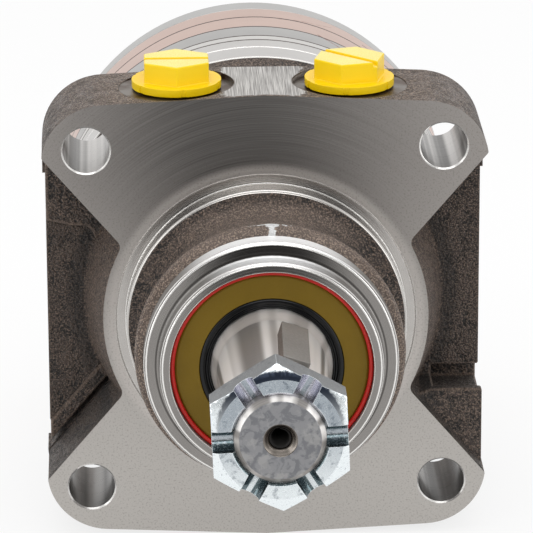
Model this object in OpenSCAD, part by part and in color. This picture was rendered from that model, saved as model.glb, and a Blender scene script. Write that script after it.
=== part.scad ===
// Hydraulic wheel motor: flange-mounted orbital motor with a taper shaft, in millimetres.
// The origin is the centre of the machined mounting face, on the shaft axis.
// The shaft points along -Y, the ports open along +Z, and the motor stack lies along +Y.

/* [Flange block] */
// Diameter of the circle of mounting bolts
bolt_circle_d = 147.6; // [144:0.1:150]
// Diameter of each mounting bolt hole
bolt_hole_d = 13.72; // [11:0.02:14.5]
// Thickness of the flange block, front to back
flange_t = 34; // [33:0.5:38]
// Distance from each bolt hole's centre out to the lug's side
lug_side = 13.2; // [12.7:0.1:14.5]
// Half of the block's width across the webs
web_half_w = 64.6; // [62:0.1:64.7]
// Distance from each upper bolt hole's centre up to the block's top, at the parting line
lug_top = 15.9155; // [15.3155:0.1:17.8155]
// Radius of the block's four corners
lug_corner_r = 18.4; // [16:0.1:20]
// Draft of the block's top and bottom faces, in degrees
block_draft = 2.7; // [1.5:0.1:3.5]
// Radius of the edge where a lug's flank meets its side
lug_edge_r = 5; // [3:0.5:6]

/* [Side pockets] */
// Radius of the round boss between the pockets, at the mounting face
waist_r = 48; // [46.5:0.1:49]
// Radius of that boss at the pocket floor
waist_foot_r = 53; // [50.5:0.1:54]
// Depth of the side pockets
pocket_depth = 21; // [17:0.5:24]
// Slope of the lugs' flanks, in degrees from level
flank_slope = 49.5; // [47:0.5:52]
// Angle up from level at which a flank meets the boss
flank_start = 28.5; // [26:0.5:30]
// Draft of the flanks, in degrees
flank_draft = 3; // [1:0.5:5]
// Radius of the pockets' inner corners
pocket_corner_r = 3; // [1.5:0.5:4]
// Height of the open slots below the webs
slot_h = 6.6; // [5:0.1:8]
// How far below the shaft axis the open slots start
slot_drop = 22.8; // [21:0.1:24]
// Distance of the right slot's inner end from the shaft axis
slot_in_x = 50.4; // [50:0.1:52]
// Thickness of the web's wall behind the open slots
slot_back_t = 4; // [3:0.5:6]
// Depth at which the slotted ledge of the right pocket starts
ledge_y = 6.5; // [4:0.5:9]

/* [Pilot and nose] */
// Diameter of the pilot
pilot_d = 82.55; // [80:0.05:84]
// Height of the pilot above the mounting face
pilot_h = 6.35; // [5:0.05:8]
// Width of the relief groove round the pilot
relief_w = 2.9; // [2:0.1:4]
// Depth of the relief groove
relief_depth = 0.8; // [0.4:0.1:1.5]
// Radius of the cast neck at its thinnest
neck_r = 34.8; // [34:0.1:35.8]
// Radius of the turned nose
nose_r = 36.6; // [36.2:0.1:38]
// Height above the mounting face where the turned nose starts
nose_start_h = 35; // [33:0.5:37]
// Radius of the cast shoulder behind the turned nose
shoulder_top_r = 39.1; // [38.2:0.1:40]
// Height of the nose's outer step
nose_step_h = 41; // [39:0.5:43]
// Radius of the boss round the dust seal
nose_boss_r = 32; // [31:0.1:33]
// Height of the whole nose
nose_h = 46.1; // [45:0.1:48]

/* [Ports] */
// Distance between the two ports
port_spacing = 50.8; // [48:0.1:54]
// Distance of the port axes behind the mounting face
port_y = 17.4; // [17.3:0.1:18]
// Diameter of each port's spotface
spotface_d = 33.8; // [31:0.1:34]
// Depth of the spotfaces below the block's top
spotface_depth = 2.1; // [1.7:0.1:3.1]
// Diameter of each port bore
port_bore_d = 20.4; // [18:0.1:22]
// Depth of each port bore
port_depth = 19; // [17:0.5:21]
// Diameter of the oil passages
passage_d = 9; // [7:0.5:10]
// Depth of the milled strip between the ports below the block's top
strip_depth = 0.6; // [0.5:0.1:1.3]

/* [Housing body] */
// Length of the housing behind the mounting face
housing_len = 85.6; // [84:0.1:90]
// Where the turned band of the housing starts
turned_y = 65.6; // [62:0.1:67]
// Radius of the turned stack
stack_r = 62; // [61.5:0.1:64]
// Radius of the cast body behind the flange block
body_r = 58.5; // [56:0.5:59.5]
// Radius of the housing's rear cavity
cavity_r = 32.5; // [32:0.1:34]
// Radius by which the housing's bearing bore stops short of the cup's own
bore_gap = 0.02; // [0.01:0.01:0.04]

/* [Plates] */
// Thickness of the wear plate
wear_t = 5; // [4.5:0.1:6]
// Thickness of the stator ring
stator_t = 10.9; // [9:0.1:14]
// Thickness of the manifold
manifold_t = 11.7; // [11:0.1:13]
// Thickness of the commutator ring
ring_t = 10.4; // [9.5:0.1:12]
// Thickness of the end cover
cover_t = 9.4; // [8.5:0.1:12]
// Radius of the circle of cover bolts
cover_bolt_circle_r = 51.5; // [51:0.1:52]
// Diameter of each cover bolt
cover_bolt_d = 7.94; // [7:0.02:8.4]
// Depth of the cover bolts in the housing
cover_bolt_grip = 18; // [15:0.5:20]
// Width of the cover bolts' heads across their flats
bolt_head_af = 12.7; // [11:0.1:14]
// Height of the cover bolts' heads
bolt_head_h = 5.2; // [4:0.1:6]
// Radius of the face seal rings
face_seal_r = 58.4; // [58.2:0.1:58.8]
// Width of the face seal rings
face_seal_w = 1.7; // [1.4:0.1:1.8]

/* [Roller set] */
// Radius of the circle of rollers
roller_circle_r = 36; // [35.6:0.1:36.4]
// Radius of each roller
roller_r = 7; // [6.7:0.05:7.2]
// Orbit of the rotor's centre round the shaft axis
eccentricity = 3.2; // [3:0.05:3.3]
// Running clearance between rotor, rollers and pockets
roller_gap = 0.05; // [0.04:0.01:0.08]
// Gap at each face of the rotor, the rollers and the commutator
side_gap = 0.04; // [0.03:0.01:0.08]

/* [Shaft] */
// How far the shaft reaches in front of the mounting face
shaft_reach = 103.7; // [103:0.1:106]
// Diameter of the shaft's thread
thread_d = 25.4; // [24:0.1:26]
// Length of the threaded end
thread_len = 17.5; // [15:0.5:18]
// Diameter of the taper's large end
taper_d = 31.75; // [31:0.05:33]
// Height of the taper's large end above the mounting face
taper_h = 48.5; // [48.2:0.1:50]
// Length along the taper in which its diameter drops by one
taper_ratio = 8; // [7.5:0.5:9]
// Diameter of the journal under the dust seal and the outer bearing
journal_d = 35; // [34:0.1:35.6]
// Height of the journal's front end above the mounting face
journal_h = 43.4; // [42:0.1:43.8]
// Diameter of the journal in the inner bearing
coupling_d = 50.8; // [50:0.1:51.6]
// Radius of the bore that clears the drive link
coupling_bore_r = 16; // [15.6:0.1:17]
// Diameter of the centre hole in the shaft's end
centre_hole_d = 6; // [5:0.1:7]
// Depth of the centre hole
centre_hole_depth = 24; // [16:1:28]

/* [Key and nut] */
// Width of the half-round key
key_w = 7.94; // [7:0.02:8.4]
// Diameter of the half-round key
key_d = 25.4; // [24:0.1:26]
// Height of the key's flat above the taper
key_proud = 3.3; // [2.5:0.1:4]
// How far the centre of the key's round edge lies above its flat
key_rise = 1.6; // [1:0.1:2]
// Angle of the key from the top of the shaft, towards +X
key_turn = 19; // [0:1:30]
// Height of the key's middle above the mounting face
key_h = 70.5; // [69:0.5:71.5]
// Width of the nut across its flats
nut_af = 37.3; // [36:0.1:38.2]
// Height of the nut
nut_t = 10.6; // [9:0.1:11]
// Angle of the nut's first corner from the top
nut_turn = -2.4; // [-30:0.2:30]
// Radius at which the bevel of the nut's face starts
nut_bevel_r = 17.3; // [16.8:0.1:18]
// How far the nut's face lies behind the shaft's end
nut_back = 0.7; // [0.3:0.1:2]
// Width of the nut's slots
nut_slot_w = 6; // [5:0.1:6.6]
// Depth of the nut's slots
nut_slot_depth = 4.4; // [3.8:0.1:5]

/* [Drive link] */
// Number of teeth on each spline
spline_n = 12; // [10:1:14]
// Radius of the splines at the tips of the link's teeth
spline_tip_r = 13.2; // [12.9:0.05:13.4]
// Height of the link's teeth
spline_tooth_h = 2.5; // [2.3:0.1:2.7]
// Gap beside and above the link's teeth
spline_gap = 0.42; // [0.38:0.02:0.5]
// Station of the front spline's middle behind the mounting face
spline_y = 34; // [32:0.5:36]
// Length of the link's front teeth
front_teeth_len = 12; // [10:0.5:13]
// Radius of the link's nose in the commutator
link_nose_r = 7.2; // [6.8:0.1:7.6]

/* [Bearings and seals] */
// Radius of the dust seal's pocket
dust_seal_r = 29.1; // [28.6:0.1:29.4]
// How far the dust seal lies inside the nose
dust_seal_sunk = 1.5; // [1:0.1:2]
// Height of the dust seal
dust_seal_t = 7; // [6.5:0.1:8]
// Width of the red sealing rim
rim_w = 1.4; // [1:0.1:1.8]
// Radius at which the dust seal's case ends and its lip starts
dust_lip_r = 20.7; // [20.2:0.1:21.4]
// Diameter of the outer bearing's needles
outer_needle_d = 3.5; // [3:0.1:3.8]
// Length of the outer bearing
outer_bearing_len = 25; // [22:0.5:25.5]
// Number of needles in the outer bearing
outer_needle_n = 22; // [18:1:24]
// Diameter of the inner bearing's needles
inner_needle_d = 4; // [3.5:0.1:4.2]
// Length of the inner bearing
inner_bearing_len = 25; // [22:0.5:26]
// Number of needles in the inner bearing
inner_needle_n = 28; // [22:1:30]
// Thickness of the needle bearings' cups
cup_t = 1.2; // [1:0.1:1.4]
// Diameter of the thrust needles
thrust_needle_d = 2; // [1.8:0.1:2.4]
// Number of needles in each thrust bearing
thrust_needle_n = 26; // [20:1:28]
// Thickness of the thrust washers
washer_t = 1.6; // [1.3:0.1:2]
// Radius of the shaft seal's pocket
shaft_seal_r = 25; // [24.5:0.1:25.6]
// Height of the shaft seal
shaft_seal_t = 7.3; // [6.5:0.1:7.6]
// Running clearance of the needles and the seal lips
run_gap = 0.03; // [0.02:0.01:0.04]

/* [Port plugs] */
// Diameter of each plug's flange
plug_flange_d = 26.3; // [24:0.1:28]
// Thickness of each plug's flange
plug_flange_t = 2.3; // [1.8:0.1:3]
// Width of each plug's hexagon across its flats
plug_af = 18.9; // [17:0.1:20]
// Height of each plug's hexagon
plug_hex_h = 6.1; // [5:0.1:8]
// How far each plug's flange stands off its spotface
plug_proud = 0.6; // [0.2:0.1:0.9]
// Length of each plug's shank
plug_shank_len = 12; // [9:0.5:14]
// Width of the screwdriver slot in each plug
plug_slot_w = 1.6; // [1.2:0.1:2.2]
// Depth of the screwdriver slot
plug_slot_depth = 1.5; // [1:0.1:2.5]
// Clearance of each plug's shank in its port
plug_gap = 0.1; // [0.05:0.05:0.3]

/* [Hidden] */
$fn = 96;

// Room by which a cut runs past the face it opens
over = 1;
roller_n = 7;
lobe_n = roller_n - 1;
fit = 0.02;

// Stations of the plates, behind the mounting face
wear_y = housing_len;
stator_y = wear_y + wear_t;
manifold_y = stator_y + stator_t;
ring_y = manifold_y + manifold_t;
cover_y = ring_y + ring_t;
rear_y = cover_y + cover_t;
rotor_mid_y = stator_y + stator_t / 2;
commutator_mid_y = ring_y + ring_t / 2;

// Tilt of the drive link, and how far its nose carries the commutator off the shaft axis
link_tilt = atan(eccentricity / (rotor_mid_y - spline_y));
commutator_offset = tan(link_tilt) * (commutator_mid_y - spline_y);

bolt_half = bolt_circle_d / 2 / sqrt(2);
lug_half_w = bolt_half + lug_side;
block_half_h = bolt_half + lug_top;
pilot_r = pilot_d / 2;
journal_r = journal_d / 2;
coupling_r = coupling_d / 2;
thread_r = thread_d / 2;
taper_r = taper_d / 2;

// Bearings from the front to the back, each seated on the one before
dust_front_y = dust_seal_sunk - nose_h;
dust_back_y = dust_front_y + dust_seal_t;
outer_race_r = journal_r + outer_needle_d;
outer_cup_r = outer_race_r + cup_t;
outer_cup_y = dust_back_y + 0.4;
outer_cup_end = outer_cup_y + outer_bearing_len;
rib_t = 3.2;
seal_y = outer_cup_end + rib_t;
backup_t = 1.6;
seal_end = seal_y + backup_t + shaft_seal_t;
thrust_y = seal_end + 0.4;
thrust_h = washer_t + thrust_needle_d + 2 * run_gap;
shoulder_y = thrust_y + thrust_h;
thrust_out_r = coupling_r + 1.6;
inner_race_r = coupling_r + inner_needle_d;
inner_cup_r = inner_race_r + cup_t;
inner_cup_y = shoulder_y + 3;
inner_cup_end = inner_cup_y + inner_bearing_len;
shaft_end_y = wear_y - thrust_h;
thrust_in_r = coupling_bore_r + 1;
front_thrust_in_r = journal_r + 1.2;

cast_brown = [0.30, 0.26, 0.23];
turned_grey = [0.66, 0.65, 0.64];
bright_steel = [0.74, 0.72, 0.70];
dark_steel = [0.45, 0.45, 0.47];
zinc = [0.72, 0.77, 0.80];
olive = [0.49, 0.41, 0.14];
red_seal = [0.75, 0.10, 0.08];
rubber_black = [0.06, 0.06, 0.07];
plug_yellow = [0.96, 0.84, 0.08];
bronze = [0.66, 0.50, 0.26];

// Revolves a profile of [radius, station] points about the shaft axis
module turned(points) {
    rotate([-90, 0, 0])
        rotate_extrude()
            polygon(points);
}

// Extrudes a flat shape in X and Z from station y0 to station y1
module slab(y0, y1) {
    translate([0, y1, 0])
        rotate([90, 0, 0])
            linear_extrude(y1 - y0)
                children();
}

module disc(r, y0, y1) {
    slab(y0, y1) circle(r);
}

module ring(r_in, r_out, y0, y1) {
    slab(y0, y1)
        difference() {
            circle(r_out);
            circle(r_in);
        }
}

// Copies its child round the shaft axis, the first one turned by start from the top
module around(n, start = 0) {
    for (k = [0 : n - 1])
        rotate([0, start + k * 360 / n, 0])
            children();
}

// Points of an arc about [cx, cy], from angle a0 to angle a1
function arc(cx, cy, r, a0, a1, n = 8) =
    [for (k = [0 : n]) let (a = a0 + (a1 - a0) * k / n) [cx + r * cos(a), cy + r * sin(a)]];

// Flange block

draft_slope = tan(block_draft);
corner_x = lug_half_w - lug_corner_r;
corner_z = block_half_h - (lug_corner_r + corner_x * sin(block_draft)) / cos(block_draft);
corner_touch = [
    corner_x + lug_corner_r * sin(block_draft),
    corner_z + lug_corner_r * cos(block_draft)
];

module block_outline() {
    polygon([
        [0, block_half_h], corner_touch, [corner_x, corner_z], [lug_half_w, corner_z],
        [lug_half_w, -corner_z], [corner_x, -corner_z], [corner_touch[0], -corner_touch[1]],
        [0, -block_half_h], [-corner_touch[0], -corner_touch[1]], [-corner_x, -corner_z],
        [-lug_half_w, -corner_z], [-lug_half_w, corner_z], [-corner_x, corner_z],
        [-corner_touch[0], corner_touch[1]]
    ]);
    for (x = [-corner_x, corner_x])
        for (z = [-corner_z, corner_z])
            translate([x, z]) circle(lug_corner_r);
}

// Where the upper right flank meets the boss, the way it runs and the side it faces
flank_root = [waist_r * cos(flank_start), waist_r * sin(flank_start)];
flank_way = [cos(flank_slope), sin(flank_slope)];
flank_face = [sin(flank_slope), -cos(flank_slope)];

// Everything on the open side of the upper right flank, with its draft
module flank_space() {
    reach = 160;
    translate([flank_root[0], 0, flank_root[1]])
        rotate([0, -flank_slope, 0])
            rotate([-flank_draft, 0, 0])
                translate([-reach / 2, -reach / 2, -reach])
                    cube(reach);
}

// The drafted boss, with a fillet where it meets the pocket floor
foot_r = 1.2;
module waist_boss() {
    turned(concat(
        [[0, 0], [waist_r, 0]],
        arc(waist_foot_r + foot_r, pocket_depth - foot_r, foot_r, 166, 90, 6),
        [[waist_foot_r + foot_r + over, pocket_depth + over], [0, pocket_depth + over]]
    ));
}

// The space of the right pocket
flank_back = 6;
module pocket_space() {
    difference() {
        intersection() {
            translate([flank_root[0] - flank_back, -over, -block_half_h])
                cube([lug_half_w, pocket_depth + over, 2 * block_half_h]);
            flank_space();
            mirror([0, 0, 1]) flank_space();
        }
        waist_boss();
        disc(waist_r, -2 * over, over);
    }
}

// Fills a pocket's inner corner out to a round of pocket_corner_r
inner_start = flank_root + pocket_corner_r * flank_face;
inner_dot = inner_start * flank_way;
inner_far = waist_r + pocket_corner_r;
inner_run = -inner_dot + sqrt(inner_dot * inner_dot - inner_start * inner_start + inner_far * inner_far);
corner_mid = inner_start + inner_run * flank_way;

module pocket_corner() {
    difference() {
        polygon([
            flank_root * 0.97, flank_root + inner_run * flank_way + 0.3 * [-flank_way[1], flank_way[0]],
            corner_mid - pocket_corner_r * flank_face, corner_mid,
            corner_mid * (waist_r / inner_far), corner_mid * ((waist_r - 1) / inner_far)
        ]);
        translate(corner_mid) circle(pocket_corner_r);
    }
}

// Rounds the edge between a lug's flank and its side; the round crosses both faces
edge_z = flank_root[1] + (lug_half_w - flank_root[0]) * tan(flank_slope);
edge_in = lug_edge_r - 0.15;
edge_mid = [lug_half_w - edge_in, edge_z + edge_in * tan((90 - flank_slope) / 2)];

module lug_edge() {
    difference() {
        polygon([
            edge_mid, edge_mid + (lug_edge_r + 2) * flank_face, [lug_half_w + over, edge_z - over],
            edge_mid + [lug_edge_r + 2, 0]
        ]);
        translate(edge_mid) circle(lug_edge_r);
    }
}

slot_wall = 3;
slot_z = -slot_drop - slot_h;

// The ledge in the lower part of the right pocket
module ledge() {
    slab(ledge_y, pocket_depth + over)
        polygon([
            [flank_root[0] + 3, -flank_root[1] - 4], [slot_in_x - 1, slot_z + 4],
            [web_half_w, slot_z + 4], [web_half_w, -edge_z - 2]
        ]);
}

slot_end_y = flange_t - slot_back_t;
rib_slot_in = 1.5;
rib_t_low = 1.4;

module open_slots() {
    // Right: level, behind the front wall of the ledge
    translate([slot_in_x, ledge_y + slot_wall, slot_z])
        cube([lug_half_w, slot_end_y - ledge_y - slot_wall, slot_h]);
    // Left: along the flank
    mirror([1, 0, 0])
        translate([flank_root[0], pocket_depth - over, -flank_root[1]])
            rotate([0, flank_slope, 0])
                translate([rib_slot_in, 0, rib_t_low])
                    cube([lug_half_w, slot_end_y - pocket_depth + over, slot_h - rib_t_low]);
}

web_end = 8;
module flange_block() {
    difference() {
        slab(0, flange_t) block_outline();
        for (side = [0, 1])
            mirror([side, 0, 0]) {
                pocket_space();
                translate([web_half_w, pocket_depth - over, -corner_z])
                    cube([over + lug_half_w, flange_t, 2 * corner_z - web_end]);
                for (low = [0, 1])
                    mirror([0, 0, low])
                        slab(-over, pocket_depth + over) lug_edge();
            }
    }
    for (side = [0, 1])
        mirror([side, 0, 0])
            for (low = [0, 1])
                mirror([0, 0, low])
                    slab(0, pocket_depth) pocket_corner();
    ledge();
}

// Nose and neck

step_fillet = 1.2;
edge = 0.7;
neck_fillet = pilot_r - edge - neck_r;

// The neck flares out to the shoulder's round crest
crest_r = 3;
crest_end = 50;
flare_r = 4;
flare_angle = 40;
crest_y = crest_r - nose_start_h;
crest_mid_r = shoulder_top_r - crest_r;
flare_rise = crest_mid_r + crest_r * cos(flare_angle) - neck_r - flare_r * (1 - cos(flare_angle));
flare_y = crest_y + (crest_r + flare_r) * sin(flare_angle) + flare_rise / tan(flare_angle);

module nose() {
    turned(concat(
        [[0, over], [pilot_r, over], [pilot_r, edge - pilot_h]],
        arc(neck_r + neck_fillet, -pilot_h - neck_fillet, neck_fillet, 90, 180, 8),
        arc(neck_r + flare_r, flare_y, flare_r, 180, 180 + flare_angle, 5),
        arc(crest_mid_r, crest_y, crest_r, flare_angle, -crest_end, 7),
        [[nose_r, -nose_start_h], [nose_r, edge - nose_step_h], [nose_r - edge, -nose_step_h]],
        arc(nose_boss_r + step_fillet, -nose_step_h - step_fillet, step_fillet, 90, 180, 6),
        [[nose_boss_r, edge - nose_h], [nose_boss_r - edge, -nose_h], [0, -nose_h]]
    ));
}

// Body behind the flange block

body_fillet = 5;
band_y = housing_len - 8.3;

module body() {
    turned(concat(
        [[0, flange_t - 6], [body_r + body_fillet, flange_t - 6]],
        arc(body_r + body_fillet, flange_t + body_fillet, body_fillet, -90, -180, 8),
        [
            [body_r + 1.5, turned_y - 4], [stack_r - 1, turned_y - 1.6], [stack_r - 0.4, turned_y],
            [stack_r, turned_y + 0.4], [stack_r, band_y - 0.4], [stack_r - 0.5, band_y],
            [stack_r, band_y + 0.4], [stack_r, housing_len - 0.3], [stack_r - 0.3, housing_len],
            [0, housing_len]
        ]
    ));
}

// Bores that hold the seals, bearings and shaft
module housing_bore() {
    turned([
        [0, -nose_h - over], [dust_seal_r + fit, -nose_h - over], [dust_seal_r + fit, dust_back_y],
        [outer_cup_r + bore_gap, dust_back_y], [outer_cup_r + bore_gap, outer_cup_end],
        [journal_r + 1, outer_cup_end], [journal_r + 1, seal_y], [shaft_seal_r + fit, seal_y],
        [shaft_seal_r + fit, thrust_y], [thrust_out_r + fit, thrust_y],
        [thrust_out_r + fit, inner_cup_y], [inner_cup_r + bore_gap, inner_cup_y],
        [inner_cup_r + bore_gap, inner_cup_end + 2], [cavity_r, inner_cup_end + 4],
        [cavity_r, housing_len + over], [0, housing_len + over]
    ]);
}

port_x = port_spacing / 2;
spotface_z = block_half_h - spotface_depth;
strip_z = block_half_h - strip_depth;
port_floor_z = spotface_z - port_depth;
passage_y = 52;
passage_end_x = 10;

// A port bore with its seal chamfer and its oil passage
module port(side) {
    translate([side * port_x, port_y, 0]) {
        translate([0, 0, spotface_z]) cylinder(h = 9, d = spotface_d);
        translate([0, 0, port_floor_z]) cylinder(h = port_depth + over, d = port_bore_d);
        translate([0, 0, spotface_z - 1.2])
            cylinder(h = 1.2 + 0.01, d1 = port_bore_d, d2 = port_bore_d + 2.4);
    }
}

// The left passage slants from the port's floor into the cavity behind the inner bearing
module left_passage() {
    start = [-port_x, port_y, port_floor_z + 1];
    way = [-passage_end_x, passage_y, cavity_r - 3] - start;
    translate(start)
        rotate([0, acos(way[2] / norm(way)), atan2(way[1], way[0])])
            cylinder(h = norm(way), d = passage_d);
}

// The right passage runs to the drilling at the top of the housing's rear face
gallery_r = cover_bolt_circle_r;
gallery_d = 6;
module right_passage() {
    translate([0, port_y + 4, port_floor_z + 4])
        rotate([0, 90, 0])
            cylinder(h = port_x, d = passage_d);
    translate([0, port_y + 4, gallery_r])
        rotate([-90, 0, 0])
            cylinder(h = housing_len, d = gallery_d);
}

// The drilling that carries oil from the housing through the plates
module gallery(y0, y1) {
    translate([0, y0 - over, gallery_r])
        rotate([-90, 0, 0])
            cylinder(h = y1 - y0 + 2 * over, d = gallery_d);
}

module cover_bolt_holes(y0, y1, r = cover_bolt_d / 2 + 0.2) {
    around(roller_n, 180 / roller_n)
        translate([0, y0, cover_bolt_circle_r])
            rotate([-90, 0, 0])
                cylinder(h = y1 - y0, r = r);
}

face_seal_depth = 1.2;
module face_seal_groove(y) {
    ring(face_seal_r - face_seal_w / 2 - fit, face_seal_r + face_seal_w / 2 + fit, y - face_seal_depth, y + over);
}

module face_seal(y) {
    color(rubber_black)
        ring(face_seal_r - face_seal_w / 2, face_seal_r + face_seal_w / 2, y - face_seal_depth, y);
}

module housing() {
    color(cast_brown)
        difference() {
            union() {
                flange_block();
                nose();
                body();
            }
            housing_bore();
            open_slots();
            ring(pilot_r, pilot_r + relief_w, -over, relief_depth);
            for (x = [-bolt_half, bolt_half])
                for (z = [-bolt_half, bolt_half])
                    translate([x, -over, z])
                        rotate([-90, 0, 0])
                            cylinder(h = flange_t + 12, d = bolt_hole_d);
            port(-1);
            port(1);
            left_passage();
            right_passage();
            translate([-port_x, over + 0.3, strip_z])
                cube([port_spacing, flange_t + over, 5]);
            cover_bolt_holes(housing_len - cover_bolt_grip - 3, housing_len + over, cover_bolt_d / 2 + fit);
            face_seal_groove(housing_len);
        }
}

// Dust seal: an open-backed case, a red rim on its shoulder and a ribbed lip

case_out_r = dust_seal_r - rim_w;
case_t = 1.2;
case_front_y = dust_front_y + 0.7;

module dust_seal_case() {
    color(olive)
        turned([
            [dust_lip_r, case_front_y], [case_out_r - 0.6, case_front_y], [case_out_r, case_front_y + 0.6],
            [case_out_r, case_front_y + 1.3], [dust_seal_r, case_front_y + 1.3], [dust_seal_r, dust_back_y],
            [dust_seal_r - case_t, dust_back_y], [dust_seal_r - case_t, case_front_y + 1.3 + case_t],
            [case_out_r - case_t, case_front_y + 1.3 + case_t], [case_out_r - case_t, case_front_y + case_t],
            [dust_lip_r, case_front_y + case_t]
        ]);
}

module dust_seal_rim() {
    color(red_seal)
        turned(concat(
            [[case_out_r + fit, case_front_y + 1.3], [case_out_r + fit, dust_front_y + rim_w / 2]],
            arc(case_out_r + rim_w / 2, dust_front_y + rim_w / 2, rim_w / 2 - fit, 180, 360, 8),
            [[dust_seal_r, case_front_y + 1.3]]
        ));
}

lip_in_r = journal_r + run_gap;
// Where the lip's ribs meet, as parts of its width from the shaft
lip_rib_edges = [1, 0.42, 0.21, 0];
lip_rib_sink = 0.25;
module dust_seal_lip() {
    lip_w = dust_lip_r - lip_in_r;
    lip_y = case_front_y + 0.2;
    ribs = [
        for (k = [0 : len(lip_rib_edges) - 2])
            let (
                out_r = lip_in_r + lip_w * lip_rib_edges[k],
                in_r = lip_in_r + lip_w * lip_rib_edges[k + 1]
            )
            for (p = arc((out_r + in_r) / 2, 0, (out_r - in_r) / 2 - 0.08, 0, -180, 6))
                [p[0], lip_y + p[1] * 0.6 + k * lip_rib_sink]
    ];
    color(rubber_black)
        turned(concat(
            [[dust_lip_r, case_front_y + case_t]], ribs,
            [[lip_in_r, lip_y + 1.2], [lip_in_r, dust_back_y - 1.5], [lip_in_r + 0.9, dust_back_y - 0.3]],
            [[lip_in_r + 1.9, dust_back_y - 0.8], [dust_lip_r - 0.6, case_front_y + 2.2]]
        ));
}

// Needle bearings

cage_t = 1.5;
cage_end_w = 2.2;
cage_gap = 0.06;

module needle_cup(race_r, inner_r, y0, y1) {
    lip_r = inner_r + 0.8;
    color(bright_steel)
        turned([
            [lip_r, y0], [race_r + cup_t, y0], [race_r + cup_t, y1], [lip_r, y1], [lip_r, y1 - cup_t],
            [race_r, y1 - cup_t], [race_r, y0 + cup_t], [lip_r, y0 + cup_t]
        ]);
}

module needle_cage(needle_d, inner_r, y0, y1, n) {
    mid_r = inner_r + needle_d / 2;
    end_room = 0.1;
    color(bronze)
        difference() {
            ring(mid_r - cage_t / 2, mid_r + cage_t / 2, y0 + 3 * end_room, y1 - 3 * end_room);
            around(n)
                translate([-needle_d / 2 - cage_gap, y0 + cage_end_w - end_room, mid_r - needle_d])
                    cube([needle_d + 2 * cage_gap, y1 - y0 - 2 * (cage_end_w - end_room), 2 * needle_d]);
        }
}

module needle_row(needle_d, inner_r, y0, y1, n) {
    color(bright_steel)
        around(n)
            translate([0, y0 + cage_end_w, inner_r + needle_d / 2])
                rotate([-90, 0, 0])
                    cylinder(h = y1 - y0 - 2 * cage_end_w, r = needle_d / 2 - run_gap, $fn = 24);
}

module thrust_cage(y, in_r) {
    mid_y = y + thrust_needle_d / 2 + run_gap;
    color(bronze)
        difference() {
            ring(in_r + 0.4, thrust_out_r - 0.4, mid_y - 0.4, mid_y + 0.4);
            around(thrust_needle_n)
                translate([-thrust_needle_d / 2 - 0.05, mid_y - 1, in_r + 1.5])
                    cube([thrust_needle_d + 0.1, 2, thrust_out_r - in_r - 3]);
        }
}

module thrust_needles(y, in_r) {
    mid_y = y + thrust_needle_d / 2 + run_gap;
    color(bright_steel)
        around(thrust_needle_n)
            translate([0, mid_y, in_r + 1.6])
                cylinder(h = thrust_out_r - in_r - 3.2, r = thrust_needle_d / 2, $fn = 24);
}

module outer_bearing_cup() { needle_cup(outer_race_r, journal_r, outer_cup_y, outer_cup_end); }

module outer_bearing_cage() {
    needle_cage(outer_needle_d, journal_r, outer_cup_y + cup_t, outer_cup_end - cup_t, outer_needle_n);
}

module outer_bearing_needles() {
    needle_row(outer_needle_d, journal_r, outer_cup_y + cup_t, outer_cup_end - cup_t, outer_needle_n);
}

module inner_bearing_cup() { needle_cup(inner_race_r, coupling_r, inner_cup_y, inner_cup_end); }

module inner_bearing_cage() {
    needle_cage(inner_needle_d, coupling_r, inner_cup_y + cup_t, inner_cup_end - cup_t, inner_needle_n);
}

module inner_bearing_needles() {
    needle_row(inner_needle_d, coupling_r, inner_cup_y + cup_t, inner_cup_end - cup_t, inner_needle_n);
}

module front_thrust_washer() {
    color(bright_steel) ring(front_thrust_in_r, thrust_out_r, thrust_y, thrust_y + washer_t);
}

module front_thrust_cage() { thrust_cage(thrust_y + washer_t, front_thrust_in_r); }

module front_thrust_needles() { thrust_needles(thrust_y + washer_t, front_thrust_in_r); }

module rear_thrust_cage() { thrust_cage(shaft_end_y, thrust_in_r); }

module rear_thrust_needles() { thrust_needles(shaft_end_y, thrust_in_r); }

module rear_thrust_washer() {
    color(bright_steel) ring(thrust_in_r, thrust_out_r, wear_y - washer_t, wear_y);
}

module seal_backup_washer() {
    color(dark_steel) ring(journal_r + 0.5, shaft_seal_r, seal_y, seal_y + backup_t);
}

// Shaft seal: a heel on the pocket wall and a lip that reaches in to the shaft
module shaft_seal() {
    heel_y = seal_y + backup_t;
    color(rubber_black)
        turned([
            [lip_in_r, heel_y], [shaft_seal_r, heel_y], [shaft_seal_r, seal_end],
            [shaft_seal_r - 2.2, seal_end], [shaft_seal_r - 2.8, heel_y + 3],
            [lip_in_r + 2.2, heel_y + 3], [lip_in_r + 1.4, seal_end - 0.8], [lip_in_r, seal_end - 2]
        ]);
}

// Shaft, key and nut

taper_drop = (shaft_reach - thread_len - taper_h) / taper_ratio / 2;
small_taper_r = taper_r - taper_drop;
undercut_w = 3;
spline_root_r = spline_tip_r - spline_tooth_h;

// Outline of an external spline of n straight-sided teeth
function spline_points(n, root_r, tip_r, root_w, tip_w) = [
    for (k = [0 : n - 1])
        for (p = [[root_r, -root_w / 2], [tip_r, -tip_w / 2], [tip_r, tip_w / 2], [root_r, root_w / 2]])
            let (a = k * 360 / n + asin(p[1] / p[0]))
                [p[0] * sin(a), p[0] * cos(a)]
];

tooth_w = 2.75;
tooth_taper = 1.2;

// The hollow spline of the shaft and of the rotor
module spline_hole(y0, y1) {
    slab(y0, y1)
        polygon(spline_points(
            spline_n, spline_root_r + spline_gap, spline_tip_r + 1.5 * spline_gap,
            tooth_w + tooth_taper / 2 + 2 * spline_gap, tooth_w - tooth_taper / 2 + 2 * spline_gap
        ));
}

function taper_r_at(h) = taper_r - (h - taper_h) / taper_ratio / 2;

// Leans its child with the taper at the key, and turns it round the shaft
key_lean = atan(1 / taper_ratio / 2);
key_flat_r = taper_r_at(key_h) + key_proud;

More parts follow.
